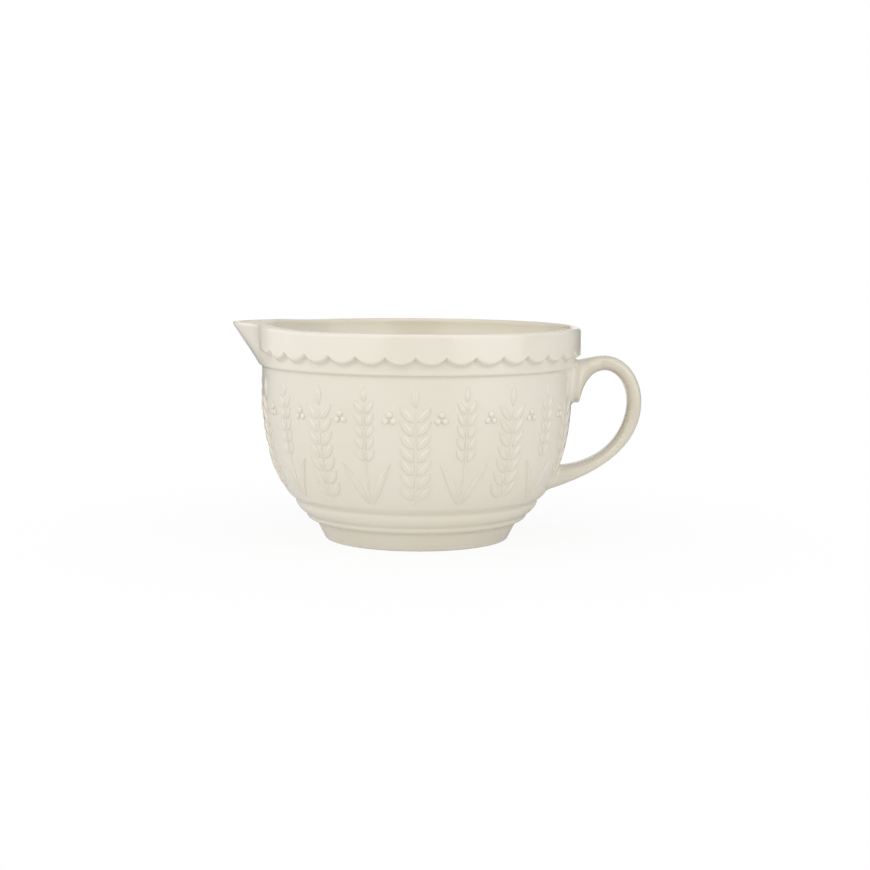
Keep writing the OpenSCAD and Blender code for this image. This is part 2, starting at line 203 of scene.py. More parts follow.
class Tree:
    """A node tree under construction, of a material, a world or a Geometry Nodes recipe."""

    NOISE_ROUGHNESS = 0.5
    MIX_FIRST = 6
    MIX_SECOND = 7
    MIX_RESULT = 2

    def __init__(self, tree: bpy.types.NodeTree) -> None:
        """Wraps an empty tree."""
        self.tree = tree

    @classmethod
    def afresh(cls, owner: bpy.types.Material | bpy.types.World) -> "Tree":
        """Starts the tree of a material or a world.

        Args:
            owner: The material or the world.

        Returns:
            Its tree, emptied.
        """
        owner.use_nodes = True
        owner.node_tree.nodes.clear()
        return cls(owner.node_tree)

    def node(self, kind: str, settings: Mapping[str, Any] | None = None,
             inputs: Mapping[str | int, Any] | None = None) -> bpy.types.Node:
        """Adds a node.

        Args:
            kind: The node's type.
            settings: Its own properties, set before its sockets.
            inputs: Values or links by the socket's name or number. A list links each of its items.

        Returns:
            The new node.
        """
        made = self.tree.nodes.new(kind)
        for key, value in (settings or {}).items():
            setattr(made, key, value)
        for key, value in (inputs or {}).items():
            for item in value if isinstance(value, list) else [value]:
                self.feed(made.inputs[key], item)
        return made

    def feed(self, socket: bpy.types.NodeSocket, value: Any) -> None:
        """Links a term or a socket to an input, or sets its value.

        Args:
            socket: The input.
            value: A term, an output socket or a plain value.
        """
        if isinstance(value, Term):
            value = value.socket
        if isinstance(value, bpy.types.NodeSocket):
            self.tree.links.new(value, socket)
        else:
            socket.default_value = value

    def math(self, operation: str, *values: Term | float) -> Term:
        """Adds a Math node and returns its value."""
        made = self.node("ShaderNodeMath", {"operation": operation}, dict(enumerate(values)))
        return Term(self, made.outputs[0])

    def clamp(self, value: Term) -> Term:
        """Holds a value between 0 and 1."""
        made = self.node("ShaderNodeMath", {"operation": "ADD", "use_clamp": True}, {0: value, 1: 0.0})
        return Term(self, made.outputs[0])

    def smooth(self, value: Term) -> Term:
        """Eases from 0 to 1 as the value does."""
        u = self.clamp(value)
        return u * u * (3.0 - 2.0 * u)

    def bell(self, value: Term, spread: Term | float) -> Term:
        """A bell curve, 1 in the middle, that falls off over the given spread."""
        part = value / spread
        return self.math("EXPONENT", -(part * part))

    def split(self, vector: bpy.types.NodeSocket) -> list[Term]:
        """The three parts of a vector."""
        made = self.node("ShaderNodeSeparateXYZ", inputs={0: vector})
        return [Term(self, out) for out in made.outputs]

    def vector(self, x: Term | float, y: Term | float, z: Term | float) -> bpy.types.NodeSocket:
        """A vector of three values."""
        return self.node("ShaderNodeCombineXYZ", inputs={0: x, 1: y, 2: z}).outputs[0]

    def blend(self, factor: Term | float, first: Any, second: Any) -> bpy.types.NodeSocket:
        """A mix of two colours.

        Args:
            factor: Share of the second colour.
            first: A colour socket or four numbers.
            second: A colour socket or four numbers.

        Returns:
            The mixed colour's socket.
        """
        made = self.node("ShaderNodeMix", {"data_type": "RGBA"},
                         {0: factor, self.MIX_FIRST: first, self.MIX_SECOND: second})
        return made.outputs[self.MIX_RESULT]

    def noise(self, place: bpy.types.NodeSocket, scale: float, detail: float) -> Term:
        """A cloudy value about 0.5.

        Args:
            place: Where the texture is read.
            scale: Clouds to the metre.
            detail: How many finer layers it has.

        Returns:
            The value.
        """
        made = self.node("ShaderNodeTexNoise", {"noise_dimensions": "3D"},
                         {"Vector": place, "Scale": scale, "Detail": detail,
                          "Roughness": self.NOISE_ROUGHNESS})
        return Term(self, made.outputs[0])


class Recipe(Tree):
    """A Geometry Nodes tree with named inputs, which is run once to give a plain mesh."""

    def __init__(self, name: str) -> None:
        """Starts a tree with a mesh going in and a mesh coming out.

        Args:
            name: Name of the tree.
        """
        super().__init__(bpy.data.node_groups.new(name, "GeometryNodeTree"))
        self.values: dict[str, Any] = {}
        self.tree.interface.new_socket("Geometry", in_out="INPUT", socket_type="NodeSocketGeometry")
        self.tree.interface.new_socket("Geometry", in_out="OUTPUT", socket_type="NodeSocketGeometry")
        self.group_in = self.node("NodeGroupInput")
        self.group_out = self.node("NodeGroupOutput")

    @property
    def geometry(self) -> bpy.types.NodeSocket:
        """The mesh that goes in."""
        return self.group_in.outputs["Geometry"]

    def size(self, name: str, value: float | int) -> Term:
        """Adds a named input.

        Args:
            name: What the size is called.
            value: Its value, a whole number for a count.

        Returns:
            The input's value inside the tree.
        """
        kind = "NodeSocketInt" if isinstance(value, int) else "NodeSocketFloat"
        item = self.tree.interface.new_socket(name, in_out="INPUT", socket_type=kind)
        self.values[item.identifier] = value
        return Term(self, self.group_in.outputs[name])

    def position(self) -> list[Term]:
        """The three parts of each point's place."""
        return self.split(self.node("GeometryNodeInputPosition").outputs[0])

    def index(self) -> Term:
        """Each point's number."""
        return Term(self, self.node("GeometryNodeInputIndex").outputs[0])

    def weight(self, name: Weight) -> Term:
        """A weight that the mesh carries."""
        made = self.node("GeometryNodeInputNamedAttribute", {"data_type": "FLOAT"}, {"Name": name.value})
        return Term(self, made.outputs["Attribute"])

    def store(self, geometry: bpy.types.NodeSocket, name: Weight, value: Term) -> bpy.types.NodeSocket:
        """Writes a weight on each point of a mesh.

        Args:
            geometry: The mesh.
            name: The weight.
            value: Its value on each point.

        Returns:
            The mesh that carries it.
        """
        made = self.node("GeometryNodeStoreNamedAttribute", {"data_type": "FLOAT", "domain": "POINT"},
                         {"Geometry": geometry, "Name": name.value, "Value": value})
        return made.outputs["Geometry"]

    def place(self, geometry: bpy.types.NodeSocket, position: bpy.types.NodeSocket) -> bpy.types.NodeSocket:
        """Moves each point of a mesh and returns the mesh."""
        made = self.node("GeometryNodeSetPosition", inputs={"Geometry": geometry, "Position": position})
        return made.outputs["Geometry"]

    def polar(self, radius: Term, turn: Term, height: Term) -> bpy.types.NodeSocket:
        """A place, from its radius, turn and height about the bowl's axis."""
        return self.vector(radius * self.math("COSINE", turn), radius * self.math("SINE", turn), height)

    def join(self, parts: list[bpy.types.NodeSocket]) -> bpy.types.NodeSocket:
        """Joins several meshes into one."""
        return self.node("GeometryNodeJoinGeometry", inputs={"Geometry": parts}).outputs["Geometry"]

    def copies(self, shape: bpy.types.NodeSocket, count: Term | int, position: bpy.types.NodeSocket,
               rotation: bpy.types.NodeSocket) -> bpy.types.NodeSocket:
        """Puts a copy of a shape on each of a number of points.

        Args:
            shape: What is copied.
            count: How many copies.
            position: Place of each, from its number.
            rotation: Turn of each, from its number.

        Returns:
            The copies as plain meshes.
        """
        points = self.node("GeometryNodePoints", inputs={"Count": count, "Position": position})
        made = self.node("GeometryNodeInstanceOnPoints", inputs={
            "Points": points.outputs[0], "Instance": shape, "Rotation": rotation})
        return self.node("GeometryNodeRealizeInstances", inputs={0: made.outputs[0]}).outputs[0]

    def run(self, name: str, result: bpy.types.NodeSocket, material: bpy.types.Material,
            base: bpy.types.Mesh | None = None) -> bpy.types.Object:
        """Ends the tree, evaluates it and keeps the result as a plain mesh.

        Args:
            name: Name of the piece.
            result: What the tree has made.
            material: Finish of the piece.
            base: Mesh that goes in, if the recipe needs one.

        Returns:
            The finished object, with no modifier left on it.
        """
        whole = self.node("GeometryNodeRealizeInstances", inputs={0: result})
        rounded = self.node("GeometryNodeSetShadeSmooth", inputs={0: whole.outputs[0]})
        dressed = self.node("GeometryNodeSetMaterial", inputs={0: rounded.outputs[0], "Material": material})
        self.feed(self.group_out.inputs[0], dressed.outputs[0])
        obj = bpy.data.objects.new(name, base or bpy.data.meshes.new(name))
        bpy.context.scene.collection.objects.link(obj)
        modifier = obj.modifiers.new(name, "NODES")
        modifier.node_group = self.tree
        for identifier, value in self.values.items():
            modifier[identifier] = value
        evaluated = obj.evaluated_get(bpy.context.evaluated_depsgraph_get())
        mesh = bpy.data.meshes.new_from_object(evaluated)
        obj.modifiers.clear()
        obj.data = mesh
        mesh.name = name
        return obj


class Section:
    """A line of points in the plane of radius and height, each with the weights that its finish needs."""

    def __init__(self) -> None:
        """Starts an empty line."""
        self.points: list[Point] = []
        self.weights: dict[Weight, list[float]] = {}

    def add(self, points: Iterable[Point],
            weights: Mapping[Weight, float | Sequence[float]] | None = None) -> None:
        """Carries the line on.

        Args:
            points: The next points, as radius and height.
            weights: Their weights, one number for all or one for each. A weight that isn't named is 0.
        """
        new = list(points)
        start = len(self.points)
        self.points += new
        for name, value in (weights or {}).items():
            row = self.weights.setdefault(name, [])
            row += [0.0] * (start - len(row))
            row += list(np.broadcast_to(value, len(new)))
        for row in self.weights.values():
            row += [0.0] * (len(self.points) - len(row))

    def turned(self, name: str, sides: int, closed: bool) -> bpy.types.Mesh:
        """Turns the line round the bowl's axis.

        Args:
            name: Name of the mesh.
            sides: Number of steps round the axis.
            closed: Whether the line's end meets its start. Otherwise both ends lie on the axis.

        Returns:
            The closed mesh, with its faces outwards.
        """
        inner = self.points if closed else self.points[1:-1]
        line = np.array(inner)
        turn = np.linspace(0.0, 2 * math.pi, sides, endpoint=False)
        rings = np.stack([np.outer(line[:, 0], np.cos(turn)), np.outer(line[:, 0], np.sin(turn)),
                          np.repeat(line[:, 1:], sides, 1)], 2)
        vertices = [rings.reshape(-1, 3)]
        faces = grid_faces(len(line), sides, closed)
        rows = [np.repeat(range(len(line)), sides)]
        if not closed:
            count = len(line) * sides
            tops = np.arange(sides)
            nexts = (tops + 1) % sides
            vertices += [[[0.0, 0.0, self.points[0][1]], [0.0, 0.0, self.points[-1][1]]]]
            faces += [[count, int(b), int(a)] for a, b in zip(tops, nexts)]
            last = count - sides
            faces += [[count + 1, last + int(a), last + int(b)] for a, b in zip(tops, nexts)]
            rows = [rows[0] + 1, [0, len(self.points) - 1]]
        mesh = plain_mesh(name, np.concatenate(vertices), faces)
        order = np.concatenate(rows)
        for key, row in self.weights.items():
            give_weight(mesh, key, np.array(row)[order])
        return mesh


def grid_faces(rows: int, columns: int, closed: bool) -> list[list[int]]:
    """Faces of a grid whose columns run round in a ring.

    Args:
        rows: Number of rings.
        columns: Points in a ring.
        closed: Whether the last ring joins the first.

    Returns:
        Four point numbers for each face.
    """
    last = rows if closed else rows - 1
    i, j = np.meshgrid(np.arange(last), np.arange(columns), indexing="ij")
    below, above = i * columns, (i + 1) % rows * columns
    k = (j + 1) % columns
    return np.stack([below + j, below + k, above + k, above + j], 2).reshape(-1, 4).tolist()


def plain_mesh(name: str, vertices: np.ndarray, faces: list[list[int]]) -> bpy.types.Mesh:
    """Makes a closed mesh with its faces outwards.

    Args:
        name: Name of the mesh.
        vertices: Its points.
        faces: Its faces, all turned the same way.

    Returns:
        The mesh, shaded smooth except at sharp corners.
    """
    mesh = bpy.data.meshes.new(name)
    mesh.from_pydata(vertices, [], faces)
    signed = sum(np.dot(vertices[f[0]], np.cross(vertices[f[i]], vertices[f[i + 1]]))
                 for f in faces for i in range(1, len(f) - 1))
    if signed < 0:
        mesh.flip_normals()
    mesh.shade_smooth()
    mesh.set_sharp_from_angle(angle=math.radians(SHARP_ANGLE))
    return mesh


def give_weight(mesh: bpy.types.Mesh, name: Weight, values: np.ndarray) -> None:
    """Writes a weight on each point of a mesh."""
    attribute = mesh.attributes.new(name.value, "FLOAT", "POINT")
    attribute.data.foreach_set("value", values.astype(np.float32))


@dataclass(frozen=True)
class Glaze:
    """A glossy opaque glaze that lies deeper in hollows and thinner on edges, with painted shade there and
    inside the bowl, and painted highlight on the edges.

    Attributes:
        name: Name of the finish.
        body: Colour over most of the surface.
        warm: Colour of its slow clouds.
        pooled_and_shaded: Colour where glaze has run together, and painted shade in hollows, creases and
            corners.
        thin: Colour where glaze has run off an edge, and painted highlight on edges and crowns.
        inner: Colour of the painted shade inside the bowl.
        roughness: Roughness of the gloss.
        biscuit_z: Height below which the ware is bare, or a height below the table for none.
    """

    name: str
    body: Colour = srgb(231, 226, 213)
    warm: Colour = srgb(228, 221, 205)
    pooled_and_shaded: Colour = srgb(203, 194, 171)
    thin: Colour = srgb(238, 233, 221)
    inner: Colour = srgb(223, 214, 193)
    roughness: float = 0.24
    biscuit_z: float = -1.0

    # The three textures: clouds to the metre, finer layers, and what each does to the finish
    CLOUDS = 16.0
    CLOUD_LAYERS = 3.0
    CLOUD_CONTRAST = 2.4
    CLOUD_OFFSET = 0.7
    CLOUD_SHARE = 0.7
    CLOUD_ROUGHNESS = 0.12
    PEEL = 170.0
    PEEL_LAYERS = 1.0
    PEEL_HEIGHT = 0.8
    GRAIN = 1500.0
    GRAIN_LAYERS = 2.0
    GRAIN_HEIGHT = 0.05
    GRAIN_ROUGHNESS = 0.06
    # How strongly the painted shade inside, the glaze pooling with painted shade and the thinner glaze with
    # painted highlight show: evenly, and more where the peel is high
    INNER_SHADE_SHARE = 0.8
    POOL_AND_SHADE_SHARE = (0.55, 0.3)
    THIN_AND_HIGHLIGHT_SHARE = (0.35, 0.4)
    POOL_ROUGHNESS = 0.05
    # The bare ware
    BISCUIT = srgb(222, 208, 184)
    BISCUIT_EDGE = 0.35 * MM
    BISCUIT_RAGGED = 1.0 * MM
    BISCUIT_GRAIN = 0.9
    BISCUIT_ROUGHNESS = 0.82
    # The gloss
    BUMP_STRENGTH = 0.05
    BUMP_DISTANCE = 0.6 * MM
    IOR = 1.5
    COAT = 0.55
    COAT_ROUGHNESS = 0.09

    def material(self) -> bpy.types.Material:
        """Builds the finish.

        Returns:
            A procedural material on Object coordinates and the mesh's own weights.
        """
        made = bpy.data.materials.new(self.name)
        tree = Tree.afresh(made)
        place = tree.node("ShaderNodeTexCoord").outputs["Object"]
        pool, thin, inner = (self.weight(tree, w) for w in (Weight.POOL, Weight.THIN, Weight.INNER))
        clouds = tree.noise(place, self.CLOUDS, self.CLOUD_LAYERS)
        peel = tree.noise(place, self.PEEL, self.PEEL_LAYERS)
        grain = tree.noise(place, self.GRAIN, self.GRAIN_LAYERS)
        warmth = tree.smooth(clouds * self.CLOUD_CONTRAST - self.CLOUD_OFFSET) * self.CLOUD_SHARE
        colour = tree.blend(warmth, (*self.body, 1), (*self.warm, 1))
        # Painted shade inside the bowl
        colour = tree.blend(inner * self.INNER_SHADE_SHARE, colour, (*self.inner, 1))
        # Glaze pooling with painted shade darkens, thinner glaze with painted highlight lightens
        tints = (pool, self.POOL_AND_SHADE_SHARE, self.pooled_and_shaded), (thin, self.THIN_AND_HIGHLIGHT_SHARE, self.thin)
        for weight, (even, mottled), tint in tints:
            colour = tree.blend(tree.clamp(weight * (even + mottled * peel)), colour, (*tint, 1))
        over = self.biscuit_z - tree.split(place)[2] + (peel - 0.5) * self.BISCUIT_RAGGED
        bare = tree.smooth(over / self.BISCUIT_EDGE + 0.5)
        colour = tree.blend(bare, colour, (*self.BISCUIT, 1))
        rough = self.roughness + (clouds - 0.5) * self.CLOUD_ROUGHNESS
        rough = rough + (grain - 0.5) * self.GRAIN_ROUGHNESS + pool * self.POOL_ROUGHNESS
        rough = rough + bare * (self.BISCUIT_ROUGHNESS - rough)
        relief = (peel - 0.5) * self.PEEL_HEIGHT
        relief = relief + (grain - 0.5) * (self.GRAIN_HEIGHT + self.BISCUIT_GRAIN * bare)
        bump = tree.node("ShaderNodeBump", inputs={
            "Strength": self.BUMP_STRENGTH, "Distance": self.BUMP_DISTANCE, "Height": relief})
        shader = tree.node("ShaderNodeBsdfPrincipled", inputs={
            "Base Color": colour, "Roughness": rough, "Normal": bump.outputs[0], "IOR": self.IOR,
            "Coat Weight": self.COAT * (1.0 - bare), "Coat Roughness": self.COAT_ROUGHNESS})
        tree.node("ShaderNodeOutputMaterial", inputs={0: shader.outputs[0]})
        return made

    @staticmethod
    def weight(tree: Tree, name: Weight) -> Term:
        """A weight of the mesh, which is 0 where the mesh has none of that name."""
        made = tree.node("ShaderNodeAttribute", {"attribute_type": "GEOMETRY", "attribute_name": name.value})
        return Term(tree, made.outputs["Fac"])


@dataclass(frozen=True)
class BowlForm:
    """Sizes that the pieces share, read from the frame, and the curve of the wall.

    Attributes:
        wall_r: Radius of the wall under the rim band.
        band_z: Height of the rim band's foot.
        rim_r: Outer radius of the collar.
        rim_z: Height of the rim.
        foot_z: Height of the foot ring.
        foot_top_r: Radius of the foot ring at its top.
        recess_z: Height of the underside inside the foot.
        boss_r: Radius of that underside, which is the radius of the foot's inside.
        wall_t: Thickness of the wall.
        floor_t: Thickness of the floor.
        fullness: How full the wall's curve is, where 2 is a plain ellipse.
        collar_out: How far the collar stands out from the plain tier under it.
        tier_soft: Height below and above the band's foot over which the wall steps out to the tier.
    """

    wall_r: float
    band_z: float
    rim_r: float
    rim_z: float
    foot_z: float
    foot_top_r: float
    recess_z: float
    boss_r: float = 49.7 * MM
    wall_t: float = 5.5 * MM
    floor_t: float = 6.5 * MM
    fullness: float = 2.86
    collar_out: float = 3.2 * MM
    tier_soft: float = 1.4 * MM

    TIER_CHORDS = 16

    @classmethod
    def from_frame(cls) -> "BowlForm":
        """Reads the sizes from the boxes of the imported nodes.

        Returns:
            The shared sizes.
        """
        body, band, foot = (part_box(name) for name in ("bowl_body", "rim_band", "foot_ring"))
        return cls(wall_r=body[1].y, band_z=body[1].z, rim_r=band[1].y, rim_z=band[1].z,
                   foot_z=foot[1].z, foot_top_r=foot[1].y, recess_z=body[0].z)

    @property
    def tier_r(self) -> float:
        """Radius of the plain tier under the collar."""
        return self.rim_r - self.collar_out

    @property
    def floor_z(self) -> float:
        """Height of the floor inside the bowl."""
        return self.recess_z + self.floor_t

    @property
    def band_h(self) -> float:
        """Height of the rim band."""
        return self.rim_z - self.band_z

    def curve_r(self, z: np.ndarray | float, top_r: float, low_z: float) -> np.ndarray | float:
        """Radius of a superellipse that starts upright under the band.

        Args:
            z: Height.
            top_r: Its radius under the band.
            low_z: Height at which it closes on the axis.

        Returns:
            The radius at that height.
        """
        q = np.clip((self.band_z - z) / (self.band_z - low_z), 0.0, 1.0)
        return top_r * (1 - q ** self.fullness) ** (1 / self.fullness)

    def wall_at(self, z: np.ndarray | float) -> np.ndarray | float:
        """Outer radius of the wall at a height."""
        return self.curve_r(z, self.wall_r, 0.0)

    def hollow_at(self, z: np.ndarray | float) -> np.ndarray | float:
        """Inner radius of the wall at a height."""
        return self.curve_r(z, self.wall_r - self.wall_t, self.floor_z)


def own(piece: bpy.types.Object, slot: Slot, *nodes: str) -> bpy.types.Object:
    """Gives a finished piece to the frame.

    Args:
        piece: The piece, in place.
        slot: Material slot of its finish; not used.
        nodes: Nodes of the frame that it stands for.

    Returns:
        The piece.
    """
    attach(piece, BODY)
    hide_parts(*nodes)
    LOG.info("%s: %d faces, stands for %s", piece.name, len(piece.data.polygons), ", ".join(nodes))
    return piece


def linked(name: str, mesh: bpy.types.Mesh, material: bpy.types.Material) -> bpy.types.Object:
    """Puts a mesh with its finish into the scene as an object at the origin.

    Args:
        name: Name of the object.
        mesh: Its mesh.
        material: Its finish.

    Returns:
        The object.
    """
    mesh.materials.append(material)
    obj = bpy.data.objects.new(name, mesh)
    bpy.context.scene.collection.objects.link(obj)
    return obj


@dataclass
class BowlBody:
    """The deep bowl, with a bead and a broad ring above the foot.

    Attributes:
        form: Sizes that the pieces share.
        bead_h: Height of the small bead on the foot.
        ring_h: Height of the broad ring above it.
        bead_swell: How far the bead stands out from its grooves.
        ring_swell: How far the ring stands out from its grooves.
        groove: How far the groove above the ring is set in from the wall's curve.
        ease: Height over which the wall runs down into that groove.
        flare: How far the groove on the foot stands out from the wall's curve.
        lean: How far the foot's side leans out for each length of its height.
        lap: How far the glaze laps down over the top of the foot.
        cove: Radius of the cove between the underside and the foot.
        soft: How far the glaze rounds the mouldings.
    """

    form: BowlForm
    bead_h: float = 4.6 * MM
    ring_h: float = 9.3 * MM
    bead_swell: float = 2.2 * MM
    ring_swell: float = 1.5 * MM
    groove: float = 1.6 * MM
    ease: float = 4.0 * MM
    flare: float = 1.9 * MM
    lean: float = 0.45
    lap: float = 1.8 * MM
    cove: float = 3.2 * MM
    soft: float = 0.6 * MM

    SIDES = 256
    ROUNDNESS = 0.7
    TUCK = 0.15 * MM
    # Steps along the outline
    FINE = 0.05 * MM
    SOFT_REACH = 3
    MOULDING_STEP = 0.3 * MM
    WALL_ROWS = 54
    HOLLOW_ROWS = 72
    COVE_CHORDS = 8
    BOSS_RING = 0.45
    # Glaze pooling with painted shade in the cove and grooves, and thinner glaze with painted highlight on
    # the crests
    COVE_POOL_AND_SHADE = (0.1, 0.5)
    GROOVE_POOL_AND_SHADE = 0.5
    GROOVE_WIDTH = 1.1 * MM
    CREST_THIN_AND_HIGHLIGHT = 0.4
    CREST_WIDTH = 2.2 * MM

    @property
    def grooves(self) -> list[float]:
        """Heights of the three grooves, the lowest at the top of the foot."""
        low = self.form.foot_z
        return [low, low + self.bead_h, low + self.bead_h + self.ring_h]

    def outside(self) -> tuple[np.ndarray, np.ndarray]:
        """The wall with its mouldings, softened.

        Returns:
            Heights and radii of the outer line, from inside the foot's side up.
        """
        form = self.form
        low, middle, high = self.grooves
        start = low - self.lap
        reach = self.SOFT_REACH * self.soft
        z = np.arange(start - reach, form.band_z + reach, self.FINE)
        along = np.clip((z - low) / (high - low), 0, 1)
        line = self.flare - (self.flare + self.groove) * along
        r = form.wall_at(np.maximum(z, low)) + line + self.groove * smooth((z - high) / self.ease)
        r = r - self.lean * np.maximum(low - z, 0)
        for first, last, swell in ((low, middle, self.bead_swell), (middle, high, self.ring_swell)):
            t = np.clip((z - first) / (last - first), 0, 1)
            r = r + swell * np.sin(math.pi * t) ** self.ROUNDNESS
        kernel = bell_weights(np.arange(-reach, reach + self.FINE, self.FINE), self.soft)
        softened = np.convolve(np.pad(r, len(kernel) // 2, "edge"), kernel, "valid")[:len(z)]
        plain = high + self.ease
        top = form.band_z - form.tier_soft
        mouldings = np.arange(start, plain, self.MOULDING_STEP)
        wall = np.linspace(plain, top, self.WALL_ROWS)
        step_out = np.linspace(top, form.band_z, form.TIER_CHORDS // 2 + 1)[1:]
        heights = np.concatenate([mouldings, wall, step_out])
        tier = (form.tier_r - form.wall_r, form.band_z + form.tier_soft)
        out, up = np.transpose(eased((0.0, top), tier, form.TIER_CHORDS))
        radii = np.interp(heights, z, softened) + np.interp(heights, up, out)
        radii[0] -= self.TUCK
        return heights, radii

    def section(self) -> Section:
        """The whole outline, from the middle of the underside round to the middle of the floor.

        Returns:
            The open line, with both ends on the axis.
        """
        form = self.form
        line = Section()
        line.add([(0.0, form.recess_z), (form.boss_r * self.BOSS_RING, form.recess_z)])
        centre = (form.boss_r - self.cove, form.recess_z - self.cove)
        cove = arc(centre, self.cove, 90, 0, self.COVE_CHORDS)
        line.add(cove, {Weight.POOL: np.linspace(*self.COVE_POOL_AND_SHADE, len(cove))})
        line.add([(form.boss_r, form.foot_z)])
        heights, radii = self.outside()
        hollows = [*self.grooves, form.band_z]
        crests = [self.grooves[0] + self.bead_h / 2, self.grooves[1] + self.ring_h / 2]
        # Glaze pooling with painted shade in the grooves, thinner glaze with painted highlight on the crests
        pool = sum(np.exp(-((heights - place) / self.GROOVE_WIDTH) ** 2) for place in hollows)
        thin = sum(np.exp(-((heights - place) / self.CREST_WIDTH) ** 2) for place in crests)
        line.add(zip(radii, heights), {Weight.POOL: self.GROOVE_POOL_AND_SHADE * np.clip(pool, 0, 1),
                                       Weight.THIN: self.CREST_THIN_AND_HIGHLIGHT * thin})
        turn = np.sin(np.linspace(0, math.pi / 2, self.HOLLOW_ROWS))
        inside = form.band_z + (form.floor_z - form.band_z) * turn
        # Painted shade inside the bowl
        line.add(zip(form.hollow_at(inside), inside), {Weight.INNER: 1.0})
        return line

    def build(self, material: bpy.types.Material) -> bpy.types.Object:
        """Makes the body and gives it to the frame."""
        mesh = self.section().turned("bowl_body", self.SIDES, closed=False)
        return own(linked("bowl_body_glazed", mesh, material), Slot.CREAM, "bowl_body")


@dataclass
class FootRing:
    """The foot, whose resting face is bare of glaze.

    Attributes:
        form: Sizes that the pieces share.
        table_r: Radius of the foot at the table.
        round_r: Radius of its lower edges.
        tuck: How far its upper edge is cut back under the bowl's glaze.
    """

    form: BowlForm
    table_r: float = 57.8 * MM
    round_r: float = 1.6 * MM
    tuck: float = 0.9 * MM

    SIDES = 256
    # Steps along the outline, and the angle at which its lower edge runs on into the side
    INNER_CHORDS = 7
    OUTER_CHORDS = 8
    SIDE_ROWS = 13
    EDGE_END = 350.0
    # Thinner glaze with painted highlight on the lower edge, and glaze pooling with painted shade towards the
    # top
    EDGE_THIN_AND_HIGHLIGHT = 0.5
    TOP_POOL_AND_SHADE = 0.2
    POOL_AND_SHADE_POWER = 4

    def section(self) -> Section:
        """The outline of the ring, from its inside round by the table to the bowl above it.

        Returns:
            The closed line.
        """
        form = self.form
        r, top = self.round_r, form.foot_z
        line = Section()
        line.add(arc((form.boss_r + r, r), r, 180, 270, self.INNER_CHORDS))
        low = arc((self.table_r - r, r), r, 270, self.EDGE_END, self.OUTER_CHORDS)
        out, up = low[-1]
        share = np.linspace(0, 1 - self.tuck / top, self.SIDE_ROWS)[1:]
        side = [(out + (form.foot_top_r - out) * t, up + (top - up) * t) for t in share]
        # Thinner glaze with painted highlight on the lower edge, glaze pooling with painted shade towards the
        # top
        line.add(low, {Weight.THIN: self.EDGE_THIN_AND_HIGHLIGHT})
        line.add(side, {Weight.POOL: self.TOP_POOL_AND_SHADE * share ** self.POOL_AND_SHADE_POWER})
        line.add([(side[-1][0] - self.tuck, top), (form.boss_r, top)])
        return line

    def build(self, material: bpy.types.Material) -> bpy.types.Object:
        """Makes the foot and gives it to the frame."""
        mesh = self.section().turned("foot_ring", self.SIDES, closed=True)
        return own(linked("foot_ring_glazed", mesh, material), Slot.FOOT, "foot_ring")


